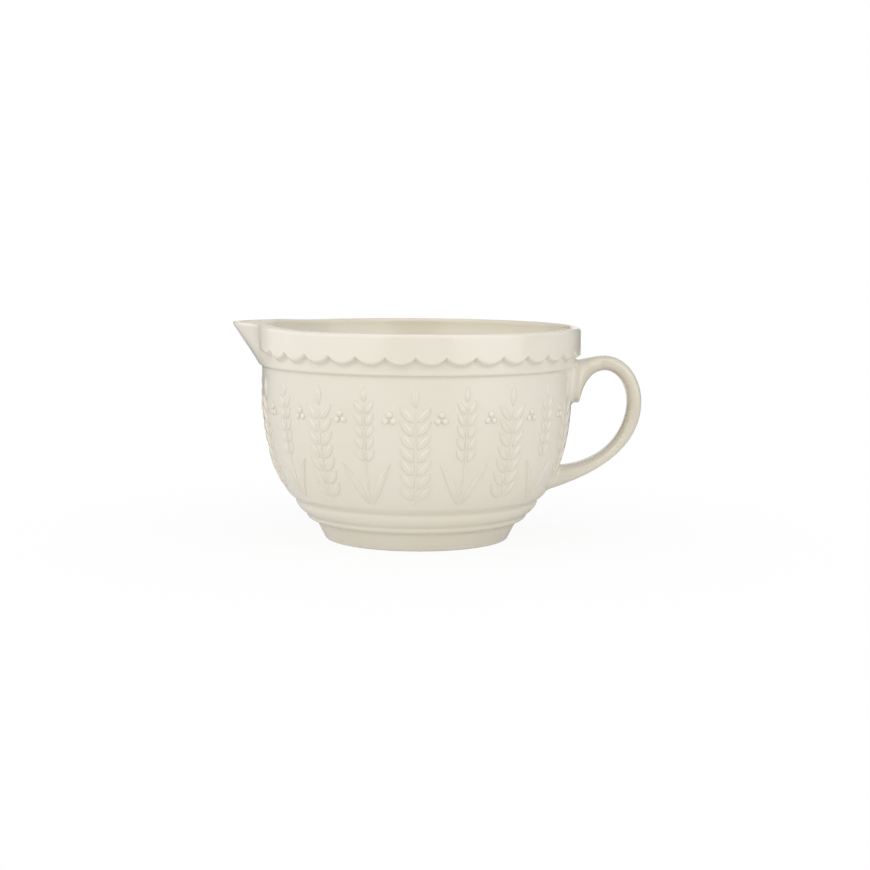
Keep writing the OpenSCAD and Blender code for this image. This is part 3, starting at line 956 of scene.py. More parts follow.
@dataclass
class RimBand:
    """The collar with its scalloped hem, the plain tier under it and the spout that is drawn out of both.

    Attributes:
        form: Sizes that the pieces share.
        spout_tip_r: Reach of the spout's tip from the axis.
        rim_rise: How far the rim rises towards the spout.
        hem_h: Height of the collar above the points of its hem.
        hem_drop: How far a scallop hangs below those points.
        scallops: Scallops in a full round.
        lip: Radius of the lip's edges.
        hem_round: Height over which the hem's lower edge is rounded.
        corner: Height of the glaze in the corner under the hem.
        spout_half: Half the angle that the spout takes.
        spout_round: How round the spout's tip is in plan.
        crease: How soft the creases beside the spout are.
        rise_spread: Angle over which the rim rises.
        channel: How the spout's channel deepens towards the lip.
    """

    form: BowlForm
    spout_tip_r: float
    rim_rise: float
    hem_h: float = 14.3 * MM
    hem_drop: float = 3.9 * MM
    scallops: int = 36
    lip: float = 2.2 * MM
    hem_round: float = 1.9 * MM
    corner: float = 1.9 * MM
    spout_half: float = 17.5
    spout_round: float = 0.14
    crease: float = 0.1
    rise_spread: float = 35.0
    channel: float = 1.6

    # Steps round the band and along its outline
    SIDES = 720
    TIER_ROWS = 9
    HEM_CHORDS = 14
    COLLAR_ROWS = 16
    LIP_CHORDS = 8
    INSIDE_ROWS = 20
    # Where the collar's step fades out beside the spout, and how the scallops fade there and up the collar
    PLAIN_FROM = -0.35
    PLAIN_OVER = 0.4
    HEM_FADE = math.radians(18)
    HEM_SWAY = 0.75
    # Glaze pooling with painted shade in the corners and under the hem, thinner glaze with painted highlight
    # on the edges, and painted shade over the lip
    FOOT_POOL_AND_SHADE = 0.4
    TIER_POOL_AND_SHADE = 0.3
    TIER_THIN_AND_HIGHLIGHT = 0.3
    UNDER_HEM_POOL_AND_SHADE = 0.2
    HEM_POOL_AND_SHADE = (0.1, 0.2, 0.0)
    HEM_THIN_AND_HIGHLIGHT = 0.4
    COLLAR_THIN_AND_HIGHLIGHT = 0.3
    COLLAR_EDGE = 0.2
    LIP_SHADE = 0.8
    LIP_POOL_AND_SHADE = 0.3
    # Painted light on the spout's flank, painted shade in the creases beside it, and less of the inside's
    # painted shade in the spout's channel
    FLANK_PAINTED_LIGHT = 1.8
    CREASE_PAINTED_SHADE = 0.6
    CREASE_SPREAD = 0.24
    CREASE_OFF = 0.03
    CHANNEL_LIGHT = math.radians(60)

    @classmethod
    def from_frame(cls, form: BowlForm) -> "RimBand":
        """Reads the spout's reach and rise from its node."""
        low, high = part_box("pouring_spout")
        return cls(form, spout_tip_r=-low.x, rim_rise=high.z - form.rim_z)

    def section(self) -> Section:
        """The band's outline away from the spout, with its hem at the height of the hem's points.

        Returns:
            The closed line, with the weights that shape the scallops and the spout.
        """
        form = self.form
        foot = form.band_z
        hem_z = form.rim_z - self.hem_h
        lip_z = form.rim_z - self.lip
        line = Section()

        def outer(points: list[Point], hem: Any, pool: Any = 0.0, thin: Any = 0.0) -> None:
            """Carries the outer face on."""
            face = [min(max(r, form.tier_r), form.rim_r) for r, _ in points]
            line.add(points, {Weight.FACE_R: face, Weight.HEM: hem, Weight.POOL: pool, Weight.THIN: thin})

        outer([(form.wall_r - form.wall_t / 2, foot), (form.wall_r, foot)], 0.0, self.FOOT_POOL_AND_SHADE)
        start, stop = foot + form.tier_soft, hem_z - self.corner
        step_out = eased((form.wall_r, foot - form.tier_soft), (form.tier_r, start), form.TIER_CHORDS)
        upper = step_out[form.TIER_CHORDS // 2:]
        outer(upper, 0.0, np.linspace(self.TIER_POOL_AND_SHADE, 0, len(upper)),
              np.linspace(0, self.TIER_THIN_AND_HIGHLIGHT, len(upper)))
        heights = np.linspace(start, stop, self.TIER_ROWS)[1:-1]
        share = (heights - start) / (stop - start)
        outer([(form.tier_r, z) for z in heights], share, self.UNDER_HEM_POOL_AND_SHADE * share ** 3)
        hem = eased((form.tier_r, stop), (form.rim_r, hem_z + self.hem_round), self.HEM_CHORDS)
        u = np.linspace(0, 1, len(hem))
        outer(hem, 1.0, np.interp(u, [0, 0.5, 1], self.HEM_POOL_AND_SHADE), np.interp(u, [0.5, 1], [0, self.HEM_THIN_AND_HIGHLIGHT]))
        start, stop = hem_z + self.hem_round, lip_z
        heights = np.linspace(start, stop, self.COLLAR_ROWS)[1:-1]
        share = (heights - start) / (stop - start)
        sway, edge = (1 - smooth(share / part) for part in (self.HEM_SWAY, self.COLLAR_EDGE))
        outer([(form.rim_r, z) for z in heights], sway, 0.0, self.COLLAR_THIN_AND_HIGHLIGHT * edge)
        lip = arc((form.rim_r - self.lip, lip_z), self.lip, 0, 90, self.LIP_CHORDS)
        over = np.linspace(0, 1, len(lip))
        # Painted shade over the lip, growing towards the inside
        line.add(lip, {Weight.FACE_R: form.rim_r, Weight.INNER: self.LIP_SHADE * over ** 2})
        lip_in_r = form.rim_r - form.wall_t
        lip = arc((lip_in_r + self.lip, lip_z), self.lip, 90, 180, self.LIP_CHORDS)
        line.add(lip, {Weight.INSIDE: 1.0, Weight.POOL: self.LIP_POOL_AND_SHADE * (1 - over),
                       Weight.INNER: self.LIP_SHADE + (1 - self.LIP_SHADE) * over})
        share = np.linspace(0, 1, self.INSIDE_ROWS)[1:]
        radii = lip_in_r + (form.wall_r - form.wall_t - lip_in_r) * smooth(share)
        inside = lip_z + (foot - lip_z) * share
        line.add(zip(radii, inside), {Weight.INSIDE: 1.0, Weight.INNER: 1.0})
        return line

    def build(self, material: bpy.types.Material) -> bpy.types.Object:
        """Makes the band and gives it to the frame.

        Args:
            material: Finish of the band.

        Returns:
            The piece, whose scallops and spout are pressed out of a plain turned ring.
        """
        base = self.section().turned("rim_band", self.SIDES, closed=True)
        recipe = Recipe("rim_band_press")
        rim_r = recipe.size("Rim radius", self.form.rim_r)
        tier_r = recipe.size("Tier radius", self.form.tier_r)
        foot_z = recipe.size("Band foot", self.form.band_z)
        band_h = recipe.size("Band height", self.form.band_h)
        scallops = recipe.size("Scallops", float(self.scallops))
        hem_drop = recipe.size("Hem drop", self.hem_drop)
        tip_r = recipe.size("Spout tip radius", self.spout_tip_r)
        half = recipe.size("Spout half angle", math.radians(self.spout_half))
        tip_round = recipe.size("Spout tip roundness", self.spout_round)
        crease = recipe.size("Crease softness", self.crease)
        rise = recipe.size("Rim rise", self.rim_rise)
        spread = recipe.size("Rim rise spread", math.radians(self.rise_spread))
        channel = recipe.size("Channel rise", self.channel)

        # How far each point lies from the spout's keel, and its share in the spout
        x, y, z = recipe.position()
        radius = recipe.math("SQRT", x * x + y * y)
        turn = recipe.math("ARCTAN2", y, x)
        off_spout = abs(recipe.math("ARCTAN2", y, -x))
        flank = off_spout / half
        keel_drop = recipe.math("SQRT", tip_round * tip_round + 1.0) - tip_round
        line = 1.0 - (recipe.math("SQRT", flank * flank + tip_round * tip_round) - tip_round) / keel_drop
        share = recipe.clamp(0.5 * (line + recipe.math("SQRT", line * line + crease * crease)))

        # The scallops hang from the hem's points in arcs
        steps = turn * scallops / (2 * math.pi)
        off_middle = (steps - recipe.math("FLOOR", steps) - 0.5) * 2.0
        chord = recipe.math("SINE", math.pi / scallops) * rim_r
        curve_r = (chord * chord + hem_drop * hem_drop) / (2.0 * hem_drop)
        across = off_middle * chord
        sag = recipe.math("SQRT", curve_r * curve_r - across * across) - curve_r + hem_drop
        hanging = recipe.smooth((off_spout - half) / self.HEM_FADE)
        hem_z = z - recipe.weight(Weight.HEM) * sag * hanging

        # The spout is drawn out along a straight keel, as one plain skin
        up = recipe.clamp((hem_z - foot_z) / band_h)
        keel = tier_r + (tip_r - tier_r) * up
        inside = recipe.weight(Weight.INSIDE)
        face = recipe.weight(Weight.FACE_R)
        plain = recipe.smooth((line - self.PLAIN_FROM) / self.PLAIN_OVER) * (1.0 - inside)
        level = plain * (tier_r + (rim_r - tier_r) * up - face)
        outer = recipe.math("MAXIMUM", keel - face - level, 0.0)
        inner = (tip_r - rim_r) * up ** channel
        pulled = radius + level + share * (outer + inside * (inner - outer))
        lifted = hem_z + rise * up * recipe.bell(off_spout * off_spout / spread, spread)
        place = recipe.polar(pulled, turn, lifted)

        # Painted shade in the creases and painted light on the spout's flank, added to the band's glaze
        # pooling with painted shade and thinner glaze with painted highlight
        crease_shade = self.CREASE_PAINTED_SHADE * recipe.bell(line + self.CREASE_OFF, self.CREASE_SPREAD)
        pooled_and_shaded = recipe.weight(Weight.POOL) * (1.0 - plain) + (1.0 - inside) * crease_shade
        thinned_and_lit = recipe.weight(Weight.THIN) + self.FLANK_PAINTED_LIGHT * share * (1.0 - inside)
        ring = recipe.store(recipe.geometry, Weight.POOL, pooled_and_shaded)
        ring = recipe.store(ring, Weight.THIN, thinned_and_lit)
        # Less of the inside's painted shade in the spout's channel, as painted light
        channel_lit_share = recipe.bell(off_spout, self.CHANNEL_LIGHT)
        ring = recipe.store(ring, Weight.INNER, recipe.weight(Weight.INNER) * (1.0 - channel_lit_share))
        obj = recipe.run("rim_band_with_spout", recipe.place(ring, place), material, base)
        obj.data.set_sharp_from_angle(angle=math.radians(SHARP_ANGLE))
        return own(obj, Slot.CREAM, "rim_band", "pouring_spout")


@dataclass
class Handle:
    """The loop handle, with a lug under the rim band and a tail on the lower wall.

    Attributes:
        form: Sizes that the pieces share.
        far_x: Reach of the loop from the axis.
        loop_z: Height of the top of the loop.
        tail_z: Height of the handle's lower end.
        lug_half: Half the width of the lug.
        thick: Thickness of the handle, seen from the side.
        half: Half its width along the loop.
        tail_half: Half the width of the tail.
        lug_lap: How far the lug laps onto the plain tier.
        lug_h: Height of the lug.
        lug_out: How far the lug's blunt lower end stands out from the wall.
        tail_h: Height of the tail's seat.
        fillet: Radius of the glazed cove at the wall.
    """

    form: BowlForm
    far_x: float
    loop_z: float
    tail_z: float
    lug_half: float
    thick: float = 9.0 * MM
    half: float = 8.5 * MM
    tail_half: float = 12.0 * MM
    lug_lap: float = 3.7 * MM
    lug_h: float = 26.5 * MM
    lug_out: float = 4.6 * MM
    tail_h: float = 15.5 * MM
    fillet: float = 2.2 * MM

    # Run of the loop's curves, and the slopes of its tail
    LOOP_SHARE = 0.47
    OUTER_START = (0.35, 0.15, 0.37)
    INNER_START = (0.1, 0.55, 0.55)
    LOOP_PULL = 0.55
    DROP_PULL = 0.4
    TAIL_PULL = 0.72
    OUTER_TAIL = 18.0
    INNER_TAIL = 4.0
    # Its section, and how it spreads towards both ends
    SQUARENESS = 2.6
    SPREAD_SHARE = 0.9
    LUG_COVE = 1.0 * MM
    SEAT_STEP = 1.5 * MM
    TINY = 1e-6
    # Steps along and round it, and over how many rings its corners are rounded
    RING = 48
    STEPS = 190
    SINK_STEPS = 18
    ROUNDING = 1.6
    ROUNDING_REACH = 6
    # A darker tint, less on the lug and on the lower part
    DARKER_TINT = 0.75
    TAIL_GLAZE = 0.8 * MM
    LUG_LESS_TINT = 0.8
    LUG_RISE = 0.4
    LUG_FADE = 2.0
    LOW_LESS_TINT = 0.65
    LOW_SHARE = 0.65

    @classmethod
    def from_frame(cls, form: BowlForm) -> "Handle":
        """Reads the loop's reach and heights from its node.

        Args:
            form: Sizes that the pieces share.

        Returns:
            The handle.
        """
        low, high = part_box("handle")
        return cls(form, far_x=high.x, loop_z=high.z, tail_z=low.z - cls.TAIL_GLAZE,
                   lug_half=high.y - cls.LUG_COVE)

    def seat_r(self, z: np.ndarray) -> np.ndarray:
        """Radius of the wall, or of the tier above it, that the handle sits on.

        Args:
            z: Heights.

        Returns:
            The radius at each height.
        """
        form = self.form
        over = smooth((z - form.band_z) / self.SEAT_STEP + 0.5)
        return form.wall_at(z) + (form.tier_r - form.wall_r) * over

    def outline(self, start: Point, pulls: Sequence[float], top: Point, far: Point, tail: Point,
                angle: float) -> np.ndarray:
        """One edge of the handle in the plane of the bowl's axis.

        Args:
            start: Where it leaves the wall.
            pulls: How far its first curve's inner points are drawn towards the top.
            top: The highest point of the loop.
            far: The farthest point of the loop.
            tail: Where it meets the wall again.
            angle: Slope with which it meets the wall.

        Returns:
            Three curves of four points each.
        """
        start, top, far, tail = map(np.array, (start, top, far, tail))
        rise = top - start
        lead = self.TAIL_PULL * (far[0] - tail[0]) * np.array([1.0, math.tan(math.radians(angle))])
        down = np.array([0.0, self.DROP_PULL * (far[1] - tail[1])])
        over = self.LOOP_PULL * (far - top)
        return np.array([
            [start, start + rise * pulls[:2], top - [pulls[2] * rise[0], 0], top],
            [top, top + [over[0], 0], far - [0, over[1]], far],
            [far, far - down, tail + lead, tail]])

    def rings(self) -> np.ndarray:
        """Rings of points along the handle, with both ends carried on into the wall.

        Returns:
            Points by ring, place in the ring and axis.
        """
        form = self.form
        lug_z = form.band_z + self.lug_lap
        bend_z = lug_z - self.lug_h
        top_x = form.wall_r + self.LOOP_SHARE * (self.far_x - form.wall_r)
        tail_top = self.tail_z + self.tail_h
        outer = self.outline((form.tier_r, lug_z), self.OUTER_START,
                             (top_x, self.loop_z), (self.far_x, bend_z),
                             (form.wall_at(self.tail_z), self.tail_z), self.OUTER_TAIL)
        inner = self.outline((form.wall_at(bend_z) + self.lug_out, bend_z), self.INNER_START,
                             (top_x, self.loop_z - self.thick), (self.far_x - self.thick, bend_z),
                             (form.wall_at(tail_top), tail_top), self.INNER_TAIL)
        u = np.linspace(0.0, len(outer), self.STEPS)
        k = np.minimum(u.astype(int), len(outer) - 1)
        t = (u - k)[:, None]
        basis = np.stack([(1 - t) ** 3, 3 * (1 - t) ** 2 * t, 3 * (1 - t) * t * t, t ** 3], 1)
        outer_line, inner_line = ((basis * curve[k]).sum(1) for curve in (outer, inner))
        wide = self.half + (self.lug_half - self.half) * (1 - smooth(u / self.SPREAD_SHARE))
        wide += (self.tail_half - self.half) * (1 - smooth((len(outer) - u) / self.SPREAD_SHARE))
        turn = np.linspace(0.0, 2 * math.pi, self.RING, endpoint=False)
        bow, sway = (np.sign(f(turn)) * abs(f(turn)) ** (2 / self.SQUARENESS) for f in (np.sin, np.cos))
        middle, reach = (outer_line + inner_line) / 2, (outer_line - inner_line) / 2
        flat = middle[:, None] + reach[:, None] * bow[None, :, None]
        across = wide[:, None] * sway[None]
        rings = np.stack([flat[..., 0], across, flat[..., 1]], 2)
        return self.softened(np.concatenate([self.sunk(rings[0]), rings, self.sunk(rings[-1])[::-1]]))

    def sunk(self, ring: np.ndarray) -> np.ndarray:
        """Rings that carry an end of the handle on into the wall, as far as the middle of its thickness.

        Args:
            ring: The last ring outside the wall.

        Returns:
            The rings, the deepest first.
        """
        depth = self.form.wall_at(ring[:, 2]) - self.form.wall_t / 2
        inside = np.stack([np.sqrt(depth ** 2 - ring[:, 1] ** 2), ring[:, 1], ring[:, 2]], 1)
        share = np.linspace(1.0, 0.0, self.SINK_STEPS, endpoint=False)[:, None, None]
        return ring + share * (inside - ring)

    def softened(self, rings: np.ndarray) -> np.ndarray:
        """Rounds the corners that the rings make along the handle.

        Args:
            rings: Points by ring, place in the ring and axis.

        Returns:
            The points, each softly averaged with those of the rings beside it.
        """
        reach = self.ROUNDING_REACH
        weights = bell_weights(np.arange(-reach, reach + 1), self.ROUNDING)
        padded = np.pad(rings, ((reach, reach), (0, 0), (0, 0)), "edge")
        return np.sum([w * padded[i:i + len(rings)] for i, w in enumerate(weights)], 0)

    def coved(self, rings: np.ndarray) -> np.ndarray:
        """Spreads the handle where it meets the wall, in a cove.

        Args:
            rings: Points by ring, place in the ring and axis.

        Returns:
            The points, with those near the wall moved out along it.
        """
        radius = np.hypot(rings[..., 0], rings[..., 1])
        off = np.clip((radius - self.seat_r(rings[..., 2])) / self.fillet, 0.0, 1.0)
        spread = self.fillet * (1 - np.sqrt(1 - (1 - off) ** 2))
        slope = (self.seat_r(rings[..., 2] + MM) - self.seat_r(rings[..., 2] - MM)) / (2 * MM)
        normal = np.stack([rings[..., 0] / radius, rings[..., 1] / radius, -np.clip(slope, -1, 1)], 2)
        normal /= np.linalg.norm(normal, axis=2, keepdims=True)
        away = rings - rings.mean(1, keepdims=True)
        away -= (away * normal).sum(2, keepdims=True) * normal
        away /= np.maximum(np.linalg.norm(away, axis=2, keepdims=True), self.TINY)
        return rings + away * spread[..., None]

    def darker_tint(self, points: np.ndarray) -> np.ndarray:
        """How strongly each point takes the darker tint.

        Args:
            points: Points of the handle.

        Returns:
            The weight of each point.
        """
        out, height = np.hypot(points[:, 0], points[:, 1]), points[:, 2]
        lug = smooth((height - self.form.band_z + self.lug_h) / (self.LUG_RISE * self.lug_h))
        lug *= 1 - smooth((out - self.seat_r(height)) / (self.LUG_FADE * self.lug_out))
        up = (height - self.tail_z) / (self.loop_z - self.tail_z)
        low = 1 - smooth(up / self.LOW_SHARE)
        return self.DARKER_TINT - self.LUG_LESS_TINT * lug - self.LOW_LESS_TINT * low

    def build(self, material: bpy.types.Material) -> bpy.types.Object:
        """Makes the handle and gives it to the frame.

        Args:
            material: Finish of the handle.

        Returns:
            The piece, whose ends are carried on into the wall.
        """
        rings = self.coved(self.rings())
        rows, columns = rings.shape[:2]
        faces = grid_faces(rows, columns, closed=False)
        faces += [list(range(columns))[::-1], list(range((rows - 1) * columns, rows * columns))]
        vertices = rings.reshape(-1, 3)
        mesh = plain_mesh("handle", vertices, faces)
        # A darker tint, less on the lug and on the lower part
        give_weight(mesh, Weight.POOL, self.darker_tint(vertices))
        return own(linked("loop_handle_glazed", mesh, material), Slot.CREAM, "handle")


@dataclass(frozen=True)
class Leaf:
    """A pillow with a pointed oval outline: a leaf, a grain, a blade or a stem.

    Attributes:
        length: Length from root to tip.
        width: Greatest width.
        out: How far it stands out from the wall.
        bend: Angle by which it curls along its length.
        belly: Below 1, the widest place lies nearer the root.
        fullness: Below 1, the ends are blunter.
        groove: Depth of the crease along its middle, as a share of its height.
        across: Points across it.
        along: Points along it.
    """

    length: float
    width: float
    out: float
    bend: float = 0.0
    belly: float = 0.85
    fullness: float = 0.8
    groove: float = 0.35
    across: int = 13
    along: int = 21

    EDGE = 0.9
    RIDGE = 0.5
    CREASE = 0.2
    SINK = 0.12 * MM
    KEEL = 0.25 * MM
    MERGE = 0.02 * MM
    EDGE_POOL_AND_SHADE = 0.5
    CROWN_THIN_AND_HIGHLIGHT = 0.6

    def shell(self, recipe: Recipe) -> bpy.types.NodeSocket:
        """Adds the closed pillow to a recipe.

        Args:
            recipe: The recipe under construction.

        Returns:
            The pillow, flat: x is the height off the wall, y runs to the right and z upwards from the root.
        """
        upper = self.half(recipe, upper=True)
        lower = recipe.node("GeometryNodeFlipFaces", inputs={0: self.half(recipe, upper=False)})
        merged = recipe.node("GeometryNodeMergeByDistance", inputs={
            "Geometry": recipe.join([upper, lower.outputs[0]]), "Distance": self.MERGE})
        return merged.outputs[0]

    def half(self, recipe: Recipe, upper: bool) -> bpy.types.NodeSocket:
        """One skin of the pillow, as a shaped grid.

        Args:
            recipe: The recipe under construction.
            upper: Whether it is the skin that shows, or else the one that lies in the wall.

        Returns:
            The skin, with its weights of glaze pooling with painted shade at the edges and of thinner glaze
            with painted highlight on the crown.
        """
        grid = recipe.node("GeometryNodeMeshGrid", inputs={
            "Size X": 2.0, "Size Y": 1.0, "Vertices X": self.across, "Vertices Y": self.along})
        x, y, _ = recipe.position()
        t = recipe.clamp(y + 0.5)
        side = recipe.math("SINE", x * (math.pi / 2))
        outline = recipe.math("MAXIMUM", recipe.math("SINE", t ** self.belly * math.pi), 0.0)
        half = outline ** self.fullness * (self.width / 2)
        ends = recipe.math("MAXIMUM", recipe.math("SINE", t * math.pi), 0.0) ** self.RIDGE
        crown = recipe.clamp(1.0 - side * side) ** self.EDGE * ends
        grooved = crown * (1.0 - self.groove * recipe.bell(side, self.CREASE))
        out = grooved * self.out - self.SINK if upper else -(crown * self.KEEL) - self.SINK
        turn = t * math.radians(self.bend)
        sine, cosine = recipe.math("SINE", turn), recipe.math("COSINE", turn)
        lean, stand = recipe.math("SINE", turn * 2.0), recipe.math("COSINE", turn * 2.0)
        right = t * sine * self.length + half * side * stand
        up = t * cosine * self.length - half * side * lean
        # Glaze pooling with painted shade at the edges, thinner glaze with painted highlight on the crown
        skin = recipe.store(grid.outputs["Mesh"], Weight.POOL, self.EDGE_POOL_AND_SHADE * (1.0 - grooved))
        skin = recipe.store(skin, Weight.THIN, self.CROWN_THIN_AND_HIGHLIGHT * grooved * grooved)
        return recipe.place(skin, recipe.vector(out, right, up))


@dataclass
class SprigBelt:
    """The belt of applied sprigs on the wall: leafy branches, ears of wheat and berries in threes.

    Attributes:
        form: Sizes that the pieces share.
        low_z: Lower edge of the belt.
        top_z: Upper edge of the belt.
        out: How far the sprigs stand out.
        step: Angle from one branch to the next.
        stem_w: Width of a stem.
        room: Room between neighbouring reliefs.
        leaf_l: Length of a branch leaf.
        leaf_w: Its width.
        leaf_angle: Its angle off the upright.
        leaf_curl: How far it curls towards the stem.
        leaf_pairs: Pairs of leaves on a branch.
        grain_l: Length of a grain.
        grain_w: Its width.
        grain_angle: Its angle off the upright.
        grain_pairs: Pairs of grains in an ear.
        grain_lap: Share of a grain's length that the next one laps.
        blade_l: Length of the blades at an ear's root.
        blade_angle: Their angle off the upright.
        blade_curl: How far they curl outwards.
        berry_d: Diameter of a berry.
        berry_height: Place of the berries between the belt's edges.
    """

    form: BowlForm
    low_z: float
    top_z: float
    out: float = 1.1 * MM
    step: float = 36.0
    stem_w: float = 1.3 * MM
    room: float = 0.5 * MM
    leaf_l: float = 12.5 * MM
    leaf_w: float = 4.6 * MM
    leaf_angle: float = 46.0
    leaf_curl: float = 6.0
    leaf_pairs: int = 7
    grain_l: float = 9.2 * MM
    grain_w: float = 3.9 * MM
    grain_angle: float = 30.0
    grain_pairs: int = 5
    grain_lap: float = 0.24
    blade_l: float = 30.0 * MM
    blade_angle: float = 20.0
    blade_curl: float = 8.0
    berry_d: float = 3.8 * MM
    berry_height: float = 0.72

    STEM_FULLNESS = 0.12
    STEM_OUT = 0.6
    STEM_ACROSS = 9
    STEM_ALONG = 41
    GRAIN_GROOVE = 0.25
    BLADE_ALONG = 33
    BERRY_SEGMENTS = 20
    BERRY_RINGS = 14
    BERRY_PROUD = 0.1 * MM
    BERRY_SHADE_AND_HIGHLIGHT = 0.5
    TRIO_ANGLE = math.radians(60)

    @classmethod
    def from_frame(cls, form: BowlForm) -> "SprigBelt":
        """Reads the belt's edges from the branches' node."""
        low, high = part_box("leaf_branches")
        return cls(form, low_z=low.z, top_z=high.z)

    @property
    def root(self) -> float:
        """How far from the stem's middle a leaf is rooted."""
        return self.stem_w / 2 + self.room

    def stem(self, recipe: Recipe, length: float) -> bpy.types.NodeSocket:
        """An upright stem from the belt's lower edge.

        Args:
            recipe: The recipe under construction.
            length: Its length.

        Returns:
            The stem, flat.
        """
        leaf = Leaf(length, self.stem_w, self.STEM_OUT * self.out, belly=1.0, fullness=self.STEM_FULLNESS,
                    groove=0.0, across=self.STEM_ACROSS, along=self.STEM_ALONG)
        return self.stand(recipe, leaf.shell(recipe), 0.0, self.low_z)

    @staticmethod
    def stand(recipe: Recipe, shape: bpy.types.NodeSocket, right: float, up: float) -> bpy.types.NodeSocket:
        """Moves a flat shape.

        Args:
            recipe: The recipe under construction.
            shape: The shape.
            right: How far it goes to the right.
            up: How far it goes up.

        Returns:
            The shape in its new place.
        """
        made = recipe.node("GeometryNodeTransform", inputs={
            "Geometry": shape, "Translation": (0.0, right, up)})
        return made.outputs[0]

    def row(self, recipe: Recipe, leaf: Leaf, side: int, angle: float, count: Term | int,
            first: float, step: float) -> bpy.types.NodeSocket:
        """A row of leaves up one side of a stem.

        Args:
            recipe: The recipe under construction.
            leaf: The leaf that is repeated.
            side: 1 for the right side, -1 for the left.
            angle: Angle off the upright.
            count: Number of leaves.
            first: Height of the lowest leaf's root.
            step: Height from one to the next.

        Returns:
            The row, flat.
        """
        place = recipe.vector(0.0, side * self.root, recipe.index() * step + first)
        turn = recipe.vector(-side * math.radians(angle), 0.0, 0.0)
        return recipe.copies(leaf.shell(recipe), count, place, turn)

    def wrapped(self, recipe: Recipe, flat: bpy.types.NodeSocket) -> bpy.types.NodeSocket:
        """Lays a flat sprig on the wall at +X.

        Args:
            recipe: The recipe under construction.
            flat: The sprig, flat.

        Returns:
            The sprig, bent to the wall's curve.
        """
        form = self.form
        wall_r = recipe.size("Wall radius", form.wall_r)
        band_z = recipe.size("Band foot", form.band_z)
        full = recipe.size("Wall fullness", form.fullness)
        out, right, up = recipe.position()
        q = recipe.clamp((band_z - up) / band_z)
        base = 1.0 - q ** full
        radius = wall_r * base ** (1.0 / full)
        slope = wall_r / band_z * q ** (full - 1.0) * base ** (1.0 / full - 1.0)
        off = out / recipe.math("SQRT", slope * slope + 1.0)
        return recipe.place(flat, recipe.polar(radius + off, right / radius, up - off * slope))

    def around(self, recipe: Recipe, sprig: bpy.types.NodeSocket, first: float, step: float,
               count: int) -> bpy.types.NodeSocket:
        """Repeats a sprig round the bowl.

        Args:
            recipe: The recipe under construction.
            sprig: The sprig on the wall at +X.
            first: Angle from the handle to the first copy.
            step: Angle from one copy to the next.
            count: Number of copies, which leave the handle clear.

        Returns:
            All the copies.
        """
        copies = recipe.size("Copies", count)
        start = recipe.size("First copy", math.radians(first))
        pitch = recipe.size("Pitch", math.radians(step))
        turn = recipe.vector(0.0, 0.0, start + recipe.index() * pitch)
        return recipe.copies(sprig, copies, recipe.vector(0.0, 0.0, 0.0), turn)

    def branches(self, material: bpy.types.Material) -> bpy.types.Object:
        """Makes the leafy branches and gives them to the frame.

        Args:
            material: Finish of the branches.

        Returns:
            The piece, with all its copies round the bowl.
        """
        recipe = Recipe("leafy_branch")
        length = self.top_z - self.low_z - self.leaf_l - self.room
        pitch = length / (self.leaf_pairs + 0.5)
        pairs = recipe.size("Leaf pairs", self.leaf_pairs)
        tip = Leaf(self.leaf_l, self.leaf_w, self.out)
        parts = [self.stem(recipe, length),
                 self.stand(recipe, tip.shell(recipe), 0.0, self.low_z + length + self.room)]
        for side in (-1, 1):
            leaf = Leaf(self.leaf_l, self.leaf_w, self.out, bend=-side * self.leaf_curl)
            parts.append(self.row(recipe, leaf, side, self.leaf_angle, pairs, self.low_z + pitch / 2, pitch))
        sprig = self.wrapped(recipe, recipe.join(parts))
        count = round(360 / self.step)
        result = self.around(recipe, sprig, self.step / 2, self.step, count)
        return own(recipe.run("leafy_branches", result, material), Slot.RELIEF, "leaf_branches")

    def ears(self, material: bpy.types.Material) -> bpy.types.Object:
        """Makes the ears of wheat and gives them to the frame.

        Args:
            material: Finish of the ears.

        Returns:
            The piece, with all its copies round the bowl.
        """
        recipe = Recipe("wheat_ear")
        tip_z = self.top_z - self.grain_l
        pitch = (1 - self.grain_lap) * self.grain_l
        pairs = recipe.size("Grain pairs", self.grain_pairs)
        grain = Leaf(self.grain_l, self.grain_w, self.out, groove=self.GRAIN_GROOVE)
        parts = [self.stem(recipe, tip_z - self.room - self.low_z),
                 self.stand(recipe, grain.shell(recipe), 0.0, tip_z)]
        low = tip_z - pitch * self.grain_pairs
        root = self.low_z + self.room
        for side in (-1, 1):
            parts.append(self.row(recipe, grain, side, self.grain_angle, pairs, low, pitch))
            blade = Leaf(self.blade_l, self.leaf_w, self.out, bend=side * self.blade_curl,
                         along=self.BLADE_ALONG)
            parts.append(self.row(recipe, blade, side, self.blade_angle, 1, root, 0.0))
        sprig = self.wrapped(recipe, recipe.join(parts))
        count = round(360 / self.step) - 1
        result = self.around(recipe, sprig, self.step, self.step, count)
        return own(recipe.run("wheat_ears_relief", result, material), Slot.RELIEF, "wheat_ears")

    def berries(self, material: bpy.types.Material) -> bpy.types.Object:
        """Makes the berries and gives them to the frame.

        Args:
            material: Finish of the berries.

        Returns:
            The piece, with all its copies round the bowl.
        """
        recipe = Recipe("berry_trio")
        berry_d = recipe.size("Berry diameter", self.berry_d)
        ball = recipe.node("GeometryNodeMeshUVSphere", inputs={
            "Segments": self.BERRY_SEGMENTS, "Rings": self.BERRY_RINGS, "Radius": 0.5})
        x, y, z = recipe.position()
        lift = recipe.clamp(x * 2.0)
